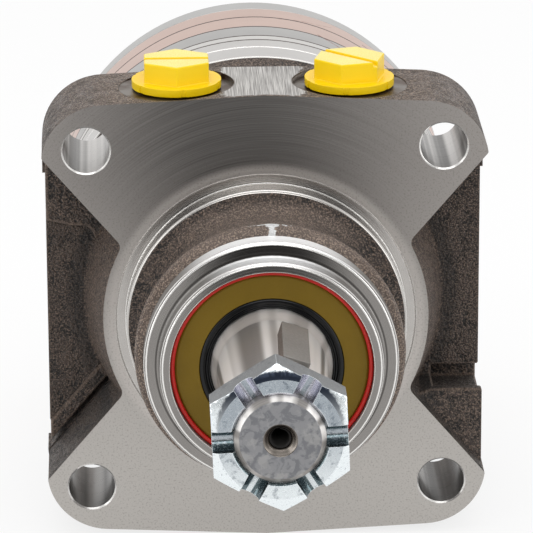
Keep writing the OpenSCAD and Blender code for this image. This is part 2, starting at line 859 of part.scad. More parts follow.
module key_shape(extra) {
    rotate([0, key_turn, 0])
        translate([0, -key_h, key_flat_r])
            rotate([key_lean, 0, 0])
                difference() {
                    translate([-key_w / 2 - extra, 0, key_rise])
                        rotate([0, 90, 0])
                            cylinder(h = key_w + 2 * extra, d = key_d + 2 * extra);
                    translate([-key_w, -key_d, extra > 0 ? key_d : 0])
                        cube([2 * key_w, 2 * key_d, key_d]);
                }
}

shaft_end_edge = 1.6;
bore_floor_y = spline_y - front_teeth_len / 2 - 9;

module output_shaft() {
    color(bright_steel)
        difference() {
            turned([
                [0, -shaft_reach], [thread_r - shaft_end_edge, -shaft_reach],
                [thread_r, shaft_end_edge - shaft_reach], [thread_r, thread_len - shaft_reach - undercut_w],
                [thread_r - 0.9, thread_len - shaft_reach - undercut_w + 0.9],
                [thread_r - 0.9, thread_len - shaft_reach], [small_taper_r, thread_len - shaft_reach],
                [taper_r, -taper_h], [journal_r, -journal_h], [journal_r, shoulder_y - 0.8],
                [journal_r + 0.8, shoulder_y], [coupling_r - edge, shoulder_y], [coupling_r, shoulder_y + edge],
                [coupling_r, shaft_end_y - edge], [coupling_r - edge, shaft_end_y], [0, shaft_end_y]
            ]);
            key_shape(fit);
            // Centre hole
            turned([
                [0, -shaft_reach - over], [centre_hole_d / 2 + 1.75 + over, -shaft_reach - over],
                [centre_hole_d / 2 + 1.75, -shaft_reach], [centre_hole_d / 2, 1.75 - shaft_reach],
                [centre_hole_d / 2, centre_hole_depth - shaft_reach],
                [0, centre_hole_depth + centre_hole_d / 3 - shaft_reach]
            ]);
            spline_hole(bore_floor_y, spline_y + front_teeth_len);
            // Relief in front of the spline and the bore that clears the link
            disc(spline_tip_r + 1.5 * spline_gap + 0.4, bore_floor_y, spline_y - front_teeth_len / 2 - 3);
            turned([
                [0, spline_y + front_teeth_len / 2 + 1], [spline_tip_r + 1.2, spline_y + front_teeth_len / 2 + 1],
                [coupling_bore_r, spline_y + front_teeth_len / 2 + 5], [coupling_bore_r, shaft_end_y + over],
                [0, shaft_end_y + over]
            ]);
        }
}

module shaft_key() {
    color(dark_steel) key_shape(0);
}

nut_front_y = nut_back - shaft_reach;
nut_rear_y = nut_front_y + nut_t;
nut_corner_r = nut_af / sqrt(3);
nut_bevel = tan(25);

module castle_nut() {
    wide = nut_corner_r + over;
    color(zinc)
        difference() {
            intersection() {
                slab(nut_front_y, nut_rear_y)
                    rotate(90 - nut_turn) circle(nut_corner_r, $fn = 6);
                turned([
                    [0, nut_front_y], [nut_bevel_r, nut_front_y],
                    [wide, nut_front_y + (wide - nut_bevel_r) * nut_bevel],
                    [wide, nut_rear_y - (wide - nut_af / 2 - 0.8) * nut_bevel],
                    [nut_af / 2 + 0.8, nut_rear_y], [0, nut_rear_y]
                ]);
            }
            turned([
                [0, nut_front_y - over], [thread_r + 0.9 + over, nut_front_y - over],
                [thread_r + 0.9, nut_front_y], [thread_r + 0.05, nut_front_y + 0.9],
                [thread_r + 0.05, nut_rear_y - 0.9], [thread_r + 0.9, nut_rear_y],
                [thread_r + 0.9 + over, nut_rear_y + over], [0, nut_rear_y + over]
            ]);
            around(6, nut_turn + 30)
                translate([0, nut_front_y + nut_slot_depth - nut_slot_w / 2, thread_r - 2]) {
                    cylinder(h = nut_af, d = nut_slot_w);
                    translate([-nut_slot_w / 2, -nut_slot_depth, 0])
                        cube([nut_slot_w, nut_slot_depth, nut_af]);
                }
        }
}

// Drive link, tilted about the middle of its front spline

rear_teeth_len = stator_t - 0.6;
link_body_r = spline_root_r - 0.9;
link_neck_r = link_nose_r + 1;
link_run = (rotor_mid_y - spline_y) / cos(link_tilt);
link_reach = (commutator_mid_y - spline_y) / cos(link_tilt);

// One barrel-tipped spline of the link, its middle at the origin
module link_teeth(len) {
    half = len / 2;
    crown = 0.35;
    intersection() {
        slab(-half, half)
            polygon(spline_points(
                spline_n, spline_root_r, spline_tip_r, tooth_w + tooth_taper / 2, tooth_w - tooth_taper / 2
            ));
        turned(concat(
            [[0, -half], [spline_tip_r - 1.4, -half]],
            [for (k = [-4 : 4]) [spline_tip_r - crown * k * k / 16, k / 4 * (half - 1)]],
            [[spline_tip_r - 1.4, half], [0, half]]
        ));
    }
}

module drive_link() {
    front = -front_teeth_len / 2;
    color(dark_steel)
        translate([0, spline_y, 0])
            rotate([link_tilt, 0, 0]) {
                link_teeth(front_teeth_len);
                translate([0, link_run, 0]) link_teeth(rear_teeth_len);
                turned(concat(
                    [[0, front - 4], [link_body_r - 3, front - 4], [spline_root_r - 0.6, front - 0.6]],
                    [[spline_root_r, front + 0.5], [spline_root_r, 0.5 - front], [link_body_r, 1.6 - front]],
                    [[link_body_r, link_run - rear_teeth_len / 2 - 1.6]],
                    [[spline_root_r, link_run - rear_teeth_len / 2 - 0.5]],
                    [[spline_root_r, link_run + rear_teeth_len / 2 - 0.2]],
                    [[link_neck_r, link_run + rear_teeth_len / 2 + 2]],
                    [[link_neck_r, link_reach - 5.5], [link_nose_r - 1, link_reach - 4.4]],
                    arc(0, link_reach, link_nose_r, -36, 33, 8),
                    [[0, link_reach + link_nose_r * sin(33)]]
                ));
            }
}

// Plates and roller set

module plate(y0, y1) {
    bevel = 0.3;
    turned([
        [0, y0], [stack_r - bevel, y0], [stack_r, y0 + bevel], [stack_r, y1 - bevel],
        [stack_r - bevel, y1], [0, y1]
    ]);
}

module wear_plate() {
    color(turned_grey)
        difference() {
            plate(wear_y, stator_y);
            disc(thrust_in_r - 1, wear_y - over, stator_y + over);
            cover_bolt_holes(wear_y - over, stator_y + over);
            gallery(wear_y, stator_y);
            face_seal_groove(stator_y);
        }
}

stator_wall_r = roller_circle_r - 0.3;

module stator_ring() {
    color(dark_steel)
        difference() {
            plate(stator_y, manifold_y);
            disc(stator_wall_r, stator_y - over, manifold_y + over);
            around(roller_n)
                translate([0, stator_y - over, roller_circle_r])
                    rotate([-90, 0, 0])
                        cylinder(h = stator_t + 2 * over, r = roller_r + roller_gap);
            cover_bolt_holes(stator_y - over, manifold_y + over);
            gallery(stator_y, manifold_y);
            face_seal_groove(manifold_y);
        }
}

module stator_roller(k) {
    color(bright_steel)
        rotate([0, (k - 1) * 360 / roller_n, 0])
            translate([0, stator_y + side_gap, roller_circle_r])
                rotate([-90, 0, 0])
                    cylinder(h = stator_t - 2 * side_gap, r = roller_r);
}

// Path of a roller's centre as the rotor sees it, and the rotor's edge one roller inside it
rotor_step_n = 192;
rotor_step_bias = 0.6;
function path_point(t) = [
    roller_circle_r * sin(t) - eccentricity * sin(roller_n * t),
    roller_circle_r * cos(t) - eccentricity * cos(roller_n * t)
];
function path_way(t) = [
    roller_circle_r * cos(t) - roller_n * eccentricity * cos(roller_n * t),
    -roller_circle_r * sin(t) + roller_n * eccentricity * sin(roller_n * t)
];
function rotor_point(u) =
    let (t = u - rotor_step_bias * sin(lobe_n * u) * 180 / PI / lobe_n, w = path_way(t))
        path_point(t) - (roller_r + roller_gap) * [-w[1], w[0]] / norm(w);

module rotor() {
    color(bright_steel)
        translate([0, 0, eccentricity])
            difference() {
                slab(stator_y + side_gap, manifold_y - side_gap)
                    polygon([for (k = [0 : rotor_step_n - 1]) rotor_point(k * 360 / rotor_step_n)]);
                spline_hole(stator_y, manifold_y);
            }
}

// A curved window between two radii and two angles from the top
module window(r_in, r_out, a0, a1) {
    intersection() {
        difference() {
            circle(r_out);
            circle(r_in);
        }
        polygon([[0, 0], 2 * r_out * [sin(a0), cos(a0)], 2 * r_out * [sin(a1), cos(a1)]]);
    }
}

commutator_r = 30.6;
commutator_land = 4.6;
drain_hole_r = 18.5;
drain_hole_d = 3.4;
drain_hole_n = 6;
window_w = 4.4;
window_a = 360 / roller_n / 4;

module manifold_windows() {
    inner_r = commutator_r - window_w / 2;
    outer_r = commutator_r + window_w / 2;
    third = manifold_t / 3;
    around(roller_n) {
        slab(manifold_y - over, manifold_y + third + 0.01) window(inner_r, outer_r, 1.5 * window_a, 2.5 * window_a);
        slab(manifold_y + third, ring_y - third) window(inner_r, outer_r, 0.6 * window_a, 2.5 * window_a);
        slab(ring_y - third - 0.01, ring_y + over) window(inner_r, outer_r, 0.6 * window_a, 1.4 * window_a);
    }
}

manifold_hole_r = 14.2;

module manifold() {
    color(turned_grey)
        difference() {
            plate(manifold_y, ring_y);
            disc(manifold_hole_r, manifold_y - over, ring_y + over);
            manifold_windows();
            cover_bolt_holes(manifold_y - over, ring_y + over);
            gallery(manifold_y, ring_y);
            face_seal_groove(ring_y);
        }
}

module commutator_ring() {
    chamber_r = commutator_r + commutator_offset + 1;
    color(turned_grey)
        difference() {
            plate(ring_y, cover_y);
            disc(chamber_r, ring_y - over, cover_y + over);
            cover_bolt_holes(ring_y - over, cover_y + over);
            gallery(ring_y, ring_y + 4);
            translate([-gallery_d / 2, ring_y - over, 0])
                cube([gallery_d, 4 + over, gallery_r]);
            face_seal_groove(cover_y);
        }
}

// The groove in the commutator's back that holds its seal
commutator_seal_r = 26;
commutator_seal_w = 1.8;

module commutator() {
    link_r = link_nose_r + 0.1;
    color(bright_steel)
        translate([0, 0, commutator_offset])
            difference() {
                ring(link_r, commutator_r, ring_y + side_gap, cover_y - side_gap);
                ring(commutator_r - commutator_land - 9, commutator_r - commutator_land, ring_y, ring_y + 3);
                turned([
                    [0, ring_y], [link_r + 2.4, ring_y], [link_r, ring_y + 2.4], [0, ring_y + 2.4]
                ]);
                around(drain_hole_n)
                    translate([0, ring_y + 2, drain_hole_r])
                        rotate([-90, 0, 0])
                            cylinder(h = ring_t, d = drain_hole_d);
                ring(
                    commutator_seal_r - commutator_seal_w / 2 - fit, commutator_seal_r + commutator_seal_w / 2 + fit,
                    cover_y - side_gap - 1.6, cover_y
                );
            }
}

module commutator_seal() {
    color(rubber_black)
        translate([0, 0, commutator_offset])
            ring(
                commutator_seal_r - commutator_seal_w / 2, commutator_seal_r + commutator_seal_w / 2,
                cover_y - side_gap - 1.6, cover_y - side_gap
            );
}

module end_cover() {
    rear_edge = 1.4;
    color(turned_grey)
        difference() {
            turned([
                [0, cover_y], [stack_r - 0.3, cover_y], [stack_r, cover_y + 0.3],
                [stack_r, rear_y - rear_edge], [stack_r - rear_edge, rear_y], [0, rear_y]
            ]);
            cover_bolt_holes(cover_y - over, rear_y + over);
        }
}

bolt_washer_t = 0.6;

module cover_bolts() {
    r = cover_bolt_d / 2;
    color(dark_steel)
        around(roller_n, 180 / roller_n)
            translate([0, 0, cover_bolt_circle_r]) {
                slab(housing_len - cover_bolt_grip, rear_y + over) circle(r);
                slab(rear_y, rear_y + bolt_washer_t) circle(bolt_head_af / 2 + 0.5);
                intersection() {
                    slab(rear_y, rear_y + bolt_head_h) circle(bolt_head_af / sqrt(3), $fn = 6);
                    turned([
                        [0, rear_y], [bolt_head_af, rear_y],
                        [bolt_head_af, rear_y + bolt_head_h - bolt_head_af / 4],
                        [bolt_head_af / 2 - 0.1, rear_y + bolt_head_h], [0, rear_y + bolt_head_h]
                    ]);
                }
            }
}

// Port plugs

plug_flange_z = spotface_z + plug_proud;
plug_top_z = plug_flange_z + plug_flange_t + plug_hex_h;

module port_plug(side, hex_turn, slot_turn) {
    shank_r = port_bore_d / 2 - plug_gap;
    wall = 2;
    color(plug_yellow)
        translate([side * port_x, port_y, 0])
            difference() {
                union() {
                    translate([0, 0, plug_flange_z]) cylinder(h = plug_flange_t, d = plug_flange_d);
                    translate([0, 0, plug_flange_z])
                        rotate(hex_turn)
                            cylinder(h = plug_flange_t + plug_hex_h, r = plug_af / sqrt(3), $fn = 6);
                    translate([0, 0, plug_flange_z - plug_shank_len])
                        cylinder(h = plug_shank_len + over, r = shank_r);
                }
                translate([0, 0, plug_flange_z - plug_shank_len - over])
                    cylinder(h = plug_shank_len - wall + over, r = shank_r - wall);
                translate([0, 0, plug_top_z - plug_slot_depth])
                    rotate(slot_turn)
                        translate([-plug_af, -plug_slot_w / 2, 0])
                            cube([2 * plug_af, plug_slot_w, plug_slot_depth + over]);
                rotate(hex_turn)
                    for (k = [0 : 5])
                        rotate(60 * k + 8)
                            translate([plug_flange_d / 2 - 0.25, -0.7, plug_flange_z - over])
                                cube([over, 1.4, plug_flange_t + 2 * over]);
            }
}

housing();
dust_seal_case();
dust_seal_rim();
dust_seal_lip();
outer_bearing_cup();
outer_bearing_cage();
outer_bearing_needles();
seal_backup_washer();
shaft_seal();
front_thrust_washer();
front_thrust_cage();
front_thrust_needles();
inner_bearing_cup();
inner_bearing_cage();
inner_bearing_needles();
rear_thrust_cage();
rear_thrust_needles();
rear_thrust_washer();
output_shaft();
shaft_key();
castle_nut();
drive_link();
wear_plate();
stator_ring();
stator_roller(1);  // roller_1
stator_roller(2);  // roller_2
stator_roller(3);  // roller_3
stator_roller(4);  // roller_4
stator_roller(5);  // roller_5
stator_roller(6);  // roller_6
stator_roller(7);  // roller_7
rotor();
manifold();
commutator_ring();
commutator();
commutator_seal();
end_cover();
cover_bolts();
face_seal(wear_y);  // face_seal_1
face_seal(stator_y);  // face_seal_2
face_seal(manifold_y);  // face_seal_3
face_seal(ring_y);  // face_seal_4
face_seal(cover_y);  // face_seal_5
port_plug(-1, 30, 0);  // port_plug_left
port_plug(1, 15, -45);  // port_plug_right
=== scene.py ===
import math

import bmesh
import bpy
from mathutils import Matrix, Vector


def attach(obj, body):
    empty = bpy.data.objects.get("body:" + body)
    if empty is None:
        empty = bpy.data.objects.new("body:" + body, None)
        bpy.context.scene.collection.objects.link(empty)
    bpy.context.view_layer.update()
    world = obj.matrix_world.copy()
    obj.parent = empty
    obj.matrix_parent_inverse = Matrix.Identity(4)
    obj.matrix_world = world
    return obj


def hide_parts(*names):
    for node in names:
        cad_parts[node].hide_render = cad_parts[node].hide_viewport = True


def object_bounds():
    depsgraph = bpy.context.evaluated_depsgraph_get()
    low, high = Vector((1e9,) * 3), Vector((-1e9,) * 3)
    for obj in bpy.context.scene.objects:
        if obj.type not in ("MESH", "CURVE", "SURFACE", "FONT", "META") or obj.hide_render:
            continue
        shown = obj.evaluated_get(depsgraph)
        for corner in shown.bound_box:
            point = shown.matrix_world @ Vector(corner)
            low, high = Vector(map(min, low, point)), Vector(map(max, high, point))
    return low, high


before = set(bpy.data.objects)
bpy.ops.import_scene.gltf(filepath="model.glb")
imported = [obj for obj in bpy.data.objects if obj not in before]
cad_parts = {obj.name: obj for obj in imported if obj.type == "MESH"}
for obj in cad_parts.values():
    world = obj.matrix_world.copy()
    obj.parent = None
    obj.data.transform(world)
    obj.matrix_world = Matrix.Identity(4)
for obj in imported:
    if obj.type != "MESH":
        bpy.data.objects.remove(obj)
cad_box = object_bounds()

MM = 0.001
WHITE = (1.0, 1.0, 1.0)

# How near a face has to be to a named size to count as lying on it
CLOSE = 0.3 * MM

# The camera: angles in degrees, distance in metres, lens in millimetres
CAMERA_AZIMUTH, CAMERA_ELEVATION, CAMERA_ROLL = -2.092, 18.076, -0.264
CAMERA_AIM, CAMERA_DISTANCE, CAMERA_LENS = Vector((0.182, 0, 15.987)) * MM, 1.2419, 285.6

# Places on the housing
PORT_X, PORT_Y, SPOTFACE_R, SPOTFACE_Z = 25.4 * MM, 17.4 * MM, 16.9 * MM, 66 * MM
STRIP_X, STRIP_Y = 11.2 * MM, 2.2 * MM
PILOT_R, PILOT_H, PILOT_RIM = 41.275 * MM, 6.35 * MM, 3.4 * MM
NOSE_START, BOSS_R, BORE_R, BORE_Y = 35 * MM, 28.8 * MM, 34 * MM, -44.5 * MM
FLANGE_T, FLOOR_Y, WEB_X = 34 * MM, 21 * MM, 64.6 * MM
LUG_SIDE_X, LUG_SIDE_Z = 64.9 * MM, 49.9 * MM
WAIST_R, WAIST_FOOT_R = 46 * MM, 53 * MM
TURNED_Y, STACK_R = 65.6 * MM, 62 * MM
HOLE_R, HOLE_AT = 6.86 * MM, 52.185 * MM
GLINT_X, GLINT_Y = 0.6 * MM, -32.3 * MM

# The shaft's end and its threaded centre hole
SHAFT_END_Y, HOLE_MOUTH_R, HOLE_MOUTH_Y = -103.1 * MM, 5 * MM, -90 * MM
THREAD_R, THREAD_PITCH, THREAD_DEPTH = 2.98 * MM, 1.25 * MM, 0.5 * MM
THREAD_START, THREAD_END, THREAD_SIDES = -102 * MM, -84 * MM, 48

# Copper scratches on the plates: angle from the top, station, half length in radians, rise per radian, width
SCRATCHES = [
    (0.23, 113.9 * MM, 0.1, 18 * MM, 0.2 * MM),
    (0.38, 117.2 * MM, 0.05, 40 * MM, 0.14 * MM),
    (0.393, 100.0 * MM, 0.065, -50 * MM, 0.6 * MM),
    (0.636, 117.9 * MM, 0.036, 0, 0.5 * MM),
]


def place_camera():
    """Puts the camera at the photograph's viewing point."""
    az, el, roll = (math.radians(v) for v in (CAMERA_AZIMUTH, CAMERA_ELEVATION, CAMERA_ROLL))
    back = Vector((math.sin(az) * math.cos(el), -math.cos(az) * math.cos(el), math.sin(el)))
    right = Vector((math.cos(az), math.sin(az), 0))
    up = back.cross(right)
    rolled_right = right * math.cos(roll) + up * math.sin(roll)
    rolled_up = up * math.cos(roll) - right * math.sin(roll)
    data = bpy.data.cameras.new("camera")
    data.sensor_width = 36
    data.lens = CAMERA_LENS
    data.clip_end = 50
    cam = bpy.data.objects.new("camera", data)
    bpy.context.scene.collection.objects.link(cam)
    turn = Matrix((rolled_right, rolled_up, back)).transposed().to_4x4()
    cam.matrix_world = Matrix.Translation(CAMERA_AIM + back * CAMERA_DISTANCE) @ turn
    bpy.context.scene.camera = cam


place_camera()
bpy.context.scene.view_settings.view_transform = "Standard"


# Shader building

class Net:
    """Short ways to add nodes to one tree."""

    def __init__(self, tree):
        self.tree = tree

    def add(self, kind, **values):
        node = self.tree.nodes.new(kind)
        for key, value in values.items():
            setattr(node, key, value)
        return node

    def set(self, node, key, value):
        if isinstance(value, bpy.types.NodeSocket):
            self.tree.links.new(value, node.inputs[key])
        else:
            node.inputs[key].default_value = value

    def math(self, op, a, b=0.0, c=None):
        node = self.add("ShaderNodeMath", operation=op)
        self.set(node, 0, a)
        self.set(node, 1, b)
        if c is not None:
            self.set(node, 2, c)
        return node.outputs[0]

    def product(self, first, *others):
        for value in others:
            first = self.math("MULTIPLY", first, value)
        return first

    def absolute(self, value):
        return self.math("ABSOLUTE", value)

    def hypot(self, a, b):
        return self.math("SQRT", self.math("ADD", self.product(a, a), self.product(b, b)))

    def noise(self, at, scale, detail=3.0, rough=0.55, distort=0.0):
        node = self.add("ShaderNodeTexNoise")
        self.set(node, "Vector", at)
        self.set(node, "Scale", scale)
        self.set(node, "Detail", detail)
        self.set(node, "Roughness", rough)
        self.set(node, "Distortion", distort)
        return node.outputs["Fac"]

    def step(self, value, low, high, out_low=0.0, out_high=1.0):
        node = self.add("ShaderNodeMapRange", interpolation_type="SMOOTHSTEP")
        for key, v in ((0, value), (1, low), (2, high), (3, out_low), (4, out_high)):
            self.set(node, key, v)
        return node.outputs[0]

    def blend(self, fac, a, b):
        node = self.add("ShaderNodeMix", data_type="RGBA")
        self.set(node, 0, fac)
        for key, v in ((6, a), (7, b)):
            self.set(node, key, v if isinstance(v, bpy.types.NodeSocket) else (*v, 1))
        return node.outputs[2]

    def place(self):
        return self.add("ShaderNodeTexCoord").outputs["Object"]

    def parts(self, vector):
        node = self.add("ShaderNodeSeparateXYZ")
        self.set(node, 0, vector)
        return node.outputs[0], node.outputs[1], node.outputs[2]

    def vector(self, x, y, z):
        node = self.add("ShaderNodeCombineXYZ")
        for key, v in enumerate((x, y, z)):
            self.set(node, key, v)
        return node.outputs[0]

    def bump(self, height, depth, strength, under=None):
        node = self.add("ShaderNodeBump")
        self.set(node, "Height", height)
        self.set(node, "Distance", depth)
        self.set(node, "Strength", strength)
        if under is not None:
            self.set(node, "Normal", under)
        return node.outputs[0]

    def use(self, group, **values):
        node = self.add("ShaderNodeGroup", node_tree=group)
        for key, value in values.items():
            self.set(node, key.replace("_", " "), value)
        return node.outputs


def new_group(name, inputs, outputs):
    """A node group with named float inputs and outputs, and the Net that fills it."""
    tree = bpy.data.node_groups.new(name, "ShaderNodeTree")
    for label, value in inputs:
        socket = tree.interface.new_socket(label, in_out="INPUT", socket_type="NodeSocketFloat")
        socket.default_value = value
    for label in outputs:
        tree.interface.new_socket(label, in_out="OUTPUT", socket_type="NodeSocketFloat")
    net = Net(tree)
    return tree, net, net.add("NodeGroupInput").outputs, net.add("NodeGroupOutput")


def make_patches():
    """Soft blotches between 0 and 1."""
    tree, net, given, out = new_group(
        "patches", [("Scale", 40.0), ("Low", 0.35), ("High", 0.65)], ["Mask"])
    cloud = net.noise(net.place(), given["Scale"], 4.0, 0.6)
    net.set(out, "Mask", net.step(cloud, given["Low"], given["High"]))
    return tree


def make_grain():
    """Sand-cast skin: a fine grain on a coarser swell, with specks that the skin's colour paints as lit."""
    tree, net, given, out = new_group(
        "cast grain", [("Grain", 900.0), ("Swell", 160.0)], ["Height", "Lit specks"])
    at = net.place()
    fine = net.noise(at, given["Grain"], 3.0, 0.65)
    coarse = net.noise(at, given["Swell"], 3.0, 0.5)
    cells = net.add("ShaderNodeTexVoronoi", feature="SMOOTH_F1")
    net.set(cells, "Vector", at)
    net.set(cells, "Scale", net.product(given["Grain"], 0.55))
    body = net.math("MULTIPLY_ADD", fine, 0.75, net.product(coarse, 0.9))
    net.set(out, "Height", net.math("MULTIPLY_ADD", cells.outputs["Distance"], 0.6, body))
    net.set(out, "Lit specks", net.step(fine, 0.48, 0.62))
    return tree


def make_marks():
    """Tool marks: a face's rings about the shaft axis where Rings is 1, and a side's where it is 0."""
    tree, net, given, out = new_group(
        "tool marks", [("Rings", 1.0), ("Pitch", 2600.0), ("Wander", 0.0)], ["Height"])
    x, y, z = net.parts(net.place())
    other = net.math("SUBTRACT", 1.0, given["Rings"])
    along = net.math("MULTIPLY_ADD", net.hypot(x, z), given["Rings"], net.product(y, other))
    side = net.product(net.math("ARCTAN2", x, z), given["Wander"])
    lines = net.vector(net.product(along, given["Pitch"]), side, 0.0)
    net.set(out, "Height", net.noise(lines, 1.0, 2.0, 0.6))
    return tree


def make_scores():
    """Fine straight grinding lines that run along Y."""
    tree, net, given, out = new_group("grinding lines", [("Fineness", 3000.0), ("Length", 60.0)], ["Height"])
    x, y, _ = net.parts(net.place())
    lines = net.vector(net.product(y, given["Length"]), net.product(x, given["Fineness"]), 0.0)
    net.set(out, "Height", net.noise(lines, 1.0, 3.0, 0.6))
    return tree


PATCHES, GRAIN, MARKS, SCORES = make_patches(), make_grain(), make_marks(), make_scores()


def new_material(name, base, metallic, rough, **shader):
    """A material with one Principled shader; returns it with its Net and the shader node."""
    mat = bpy.data.materials.new(name)
    mat.use_nodes = True
    mat.node_tree.nodes.clear()
    net = Net(mat.node_tree)
    node = net.add("ShaderNodeBsdfPrincipled")
    net.tree.links.new(node.outputs[0], net.add("ShaderNodeOutputMaterial").inputs[0])
    node.inputs["Base Color"].default_value = (*base, 1)
    node.inputs["Metallic"].default_value = metallic
    node.inputs["Roughness"].default_value = rough
    for key, value in shader.items():
        node.inputs[key.replace("_", " ")].default_value = value
    mat.diffuse_color = (*base, 1)
    return mat, net, node


def srgb(r, g, b):
    """A colour as the eye reads it, 0 to 255, in the renderer's linear values."""
    return tuple(((v / 255 + 0.055) / 1.055) ** 2.4 if v > 10 else v / 255 / 12.92 for v in (r, g, b))


def painted_glint(net, x, y, ragged):
    """A painted highlight on the crest above the nose: a ragged bar, thick in its middle, with a stem below
    it.
    """
    across = net.absolute(net.math("SUBTRACT", x, GLINT_X))
    along = net.absolute(net.math("SUBTRACT", y, GLINT_Y))
    rough = net.product(ragged, 2.6 * MM)
    bar = net.math("ADD", net.math("MULTIPLY_ADD", across, 0.06, along), rough)
    spot = net.math("ADD", net.math("MULTIPLY_ADD", across, 0.75, along), rough)
    below = net.math("SUBTRACT", GLINT_Y, y)
    stem = net.math("SUBTRACT", net.math("ADD", across, rough), net.product(below, 0.35))
    stem = net.product(net.step(stem, 1.7 * MM, 1.4 * MM), net.step(below, 0.0, 0.4 * MM))
    star = net.math("MAXIMUM", net.step(bar, 1.8 * MM, 1.5 * MM), net.step(spot, 3.4 * MM, 3 * MM))
    return net.math("MAXIMUM", star, stem)


def cast_look(net, lift=0.0):
    """Colour, roughness and height of the casting's skin; lift above 0 pales it as painted highlight, below 0
    darkens it as painted shade.
    """
    grain = net.use(GRAIN, Grain=2050.0, Swell=240.0)
    x, y, z = net.parts(net.place())
    radius = net.hypot(x, z)

    def lit_specked(low, high):
        return net.blend(grain["Lit specks"], low, high)

    cloud = net.use(PATCHES, Scale=48.0, Low=0.3, High=0.7)["Mask"]
    # Tan specks on the grain are a painted highlight, and the grain's low spots are darkened as painted shade
    tint = lit_specked(net.blend(cloud, srgb(48, 39, 35), srgb(74, 62, 55)), srgb(136, 116, 101))
    tint = net.blend(net.step(grain["Height"], 1.1, 0.86, 0.0, 0.9), tint, srgb(12, 10, 9))

    # The pockets: the boss round the waist painted pale as lit, with painted shade in the valley at its foot
    in_pocket = net.product(net.step(y, 0.0, MM), net.step(y, FLOOR_Y + 3 * MM, FLOOR_Y + MM))
    boss = net.step(radius, WAIST_FOOT_R + 1.5 * MM, WAIST_FOOT_R - 1.5 * MM, 0.0, 0.4)
    tint = net.blend(net.product(in_pocket, boss), tint, lit_specked(srgb(84, 68, 59), srgb(160, 138, 121)))
    past_foot = net.step(radius, WAIST_FOOT_R, WAIST_FOOT_R + 1.5 * MM)
    valley = net.product(past_foot, net.step(radius, 60 * MM, 56 * MM))
    tint = net.blend(net.product(valley, in_pocket, 0.55), tint, srgb(14, 11, 10))
    if lift:
        tint = net.blend(abs(lift), tint, srgb(150, 128, 112) if lift > 0 else srgb(12, 9, 8))

    # The nose's crest, the top of its neck, and the port deck, all paler where the light reaches them
    crest = net.product(net.step(y, -24 * MM, -33 * MM), net.step(net.absolute(x), 4 * MM, 30 * MM, 0.5, 0.8))
    tint = net.blend(crest, tint, lit_specked(srgb(104, 88, 78), srgb(182, 160, 142)))
    neck = net.product(net.step(y, -6 * MM, -8 * MM), net.step(z, 20 * MM, 36 * MM, 0.0, 0.5))
    deck = net.step(z, 56 * MM, 64 * MM, 0.0, 0.3)
    tint = net.blend(net.math("MAXIMUM", neck, deck), tint, lit_specked(srgb(134, 118, 108), srgb(196, 176, 160)))
    # A painted highlight: a white glint of the lamp overhead on the crest
    ragged = net.noise(net.place(), 800.0, 3.0, 0.7)
    glint = net.product(painted_glint(net, x, y, ragged), net.step(z, 20 * MM, 30 * MM))
    tint = net.blend(glint, tint, WHITE)
    return tint, net.step(grain["Height"], 0.8, 1.4, 0.72, 0.36), grain["Height"]


def worn_and_lit_edges(net, node, tint, height):
    """Sets the skin's bumped normal with softened edges, and pales the colour along them, partly as wear and
    partly as a painted highlight.
    """
    soft = net.add("ShaderNodeBevel", samples=6)
    net.set(soft, "Radius", 1.1 * MM)
    turn = net.add("ShaderNodeVectorMath", operation="DOT_PRODUCT")
    net.set(turn, 0, soft.outputs[0])
    net.set(turn, 1, net.add("ShaderNodeNewGeometry").outputs["Normal"])
    edge = net.step(turn.outputs["Value"], 0.985, 0.8, 0.0, 0.45)
    net.set(node, "Base Color", net.blend(edge, tint, srgb(158, 136, 120)))
    net.set(node, "Normal", net.bump(height, 2 * MM, 1.0, soft.outputs[0]))


def cast_material(name, lift=0.0):
    """Sand-cast iron, with its edges painted pale, partly as wear and partly as a painted highlight."""
    mat, net, node = new_material(name, srgb(70, 60, 54), 0.0, 0.55, Specular_IOR_Level=0.65)
    tint, rough, height = cast_look(net, lift)
    net.set(node, "Roughness", rough)
    worn_and_lit_edges(net, node, tint, height)
    return mat


def hole_material():
    """Drilled bolt holes: reamed in soft stripes along the bore, darker in the two low ones."""
    mat, net, node = new_material("drilled holes", srgb(188, 184, 180), 0.9, 0.3)
    x, _, z = net.parts(net.place())
    stripes = net.noise(net.vector(net.product(x, 260.0), net.product(z, 260.0), 0.0), 1.0, 2.0, 0.5)
    rings = net.use(MARKS, Rings=0.0)["Height"]
    tint = net.blend(net.step(stripes, 0.38, 0.6), srgb(120, 118, 116), srgb(208, 205, 202))
    tint = net.blend(net.step(z, 0.0, -10 * MM, 0.0, 0.6), tint, srgb(66, 64, 62))
    net.set(node, "Base Color", tint)
    net.set(node, "Roughness", net.step(rings, 0.2, 0.8, 0.24, 0.4))
    net.set(node, "Normal", net.bump(rings, 0.02 * MM, 0.7))
    return mat


def scratches(net, y, angle, tint):
    """The tint with ragged copper-coloured scratches on it."""
    ragged = net.noise(net.place(), 500.0, 4.0, 0.7)
    for at_angle, at_y, half, slope, wide in SCRATCHES:
        run = net.math("SUBTRACT", angle, at_angle)
        off = net.absolute(net.math("SUBTRACT", y, net.math("MULTIPLY_ADD", run, slope, at_y)))
        off = net.math("MULTIPLY_ADD", ragged, wide * 3.0, off)
        across = net.step(off, wide * 2.6, wide * 1.9)
        along = net.step(net.absolute(run), half, half * 0.8)
        tint = net.blend(net.product(across, along), tint, srgb(138, 72, 50))
    return tint


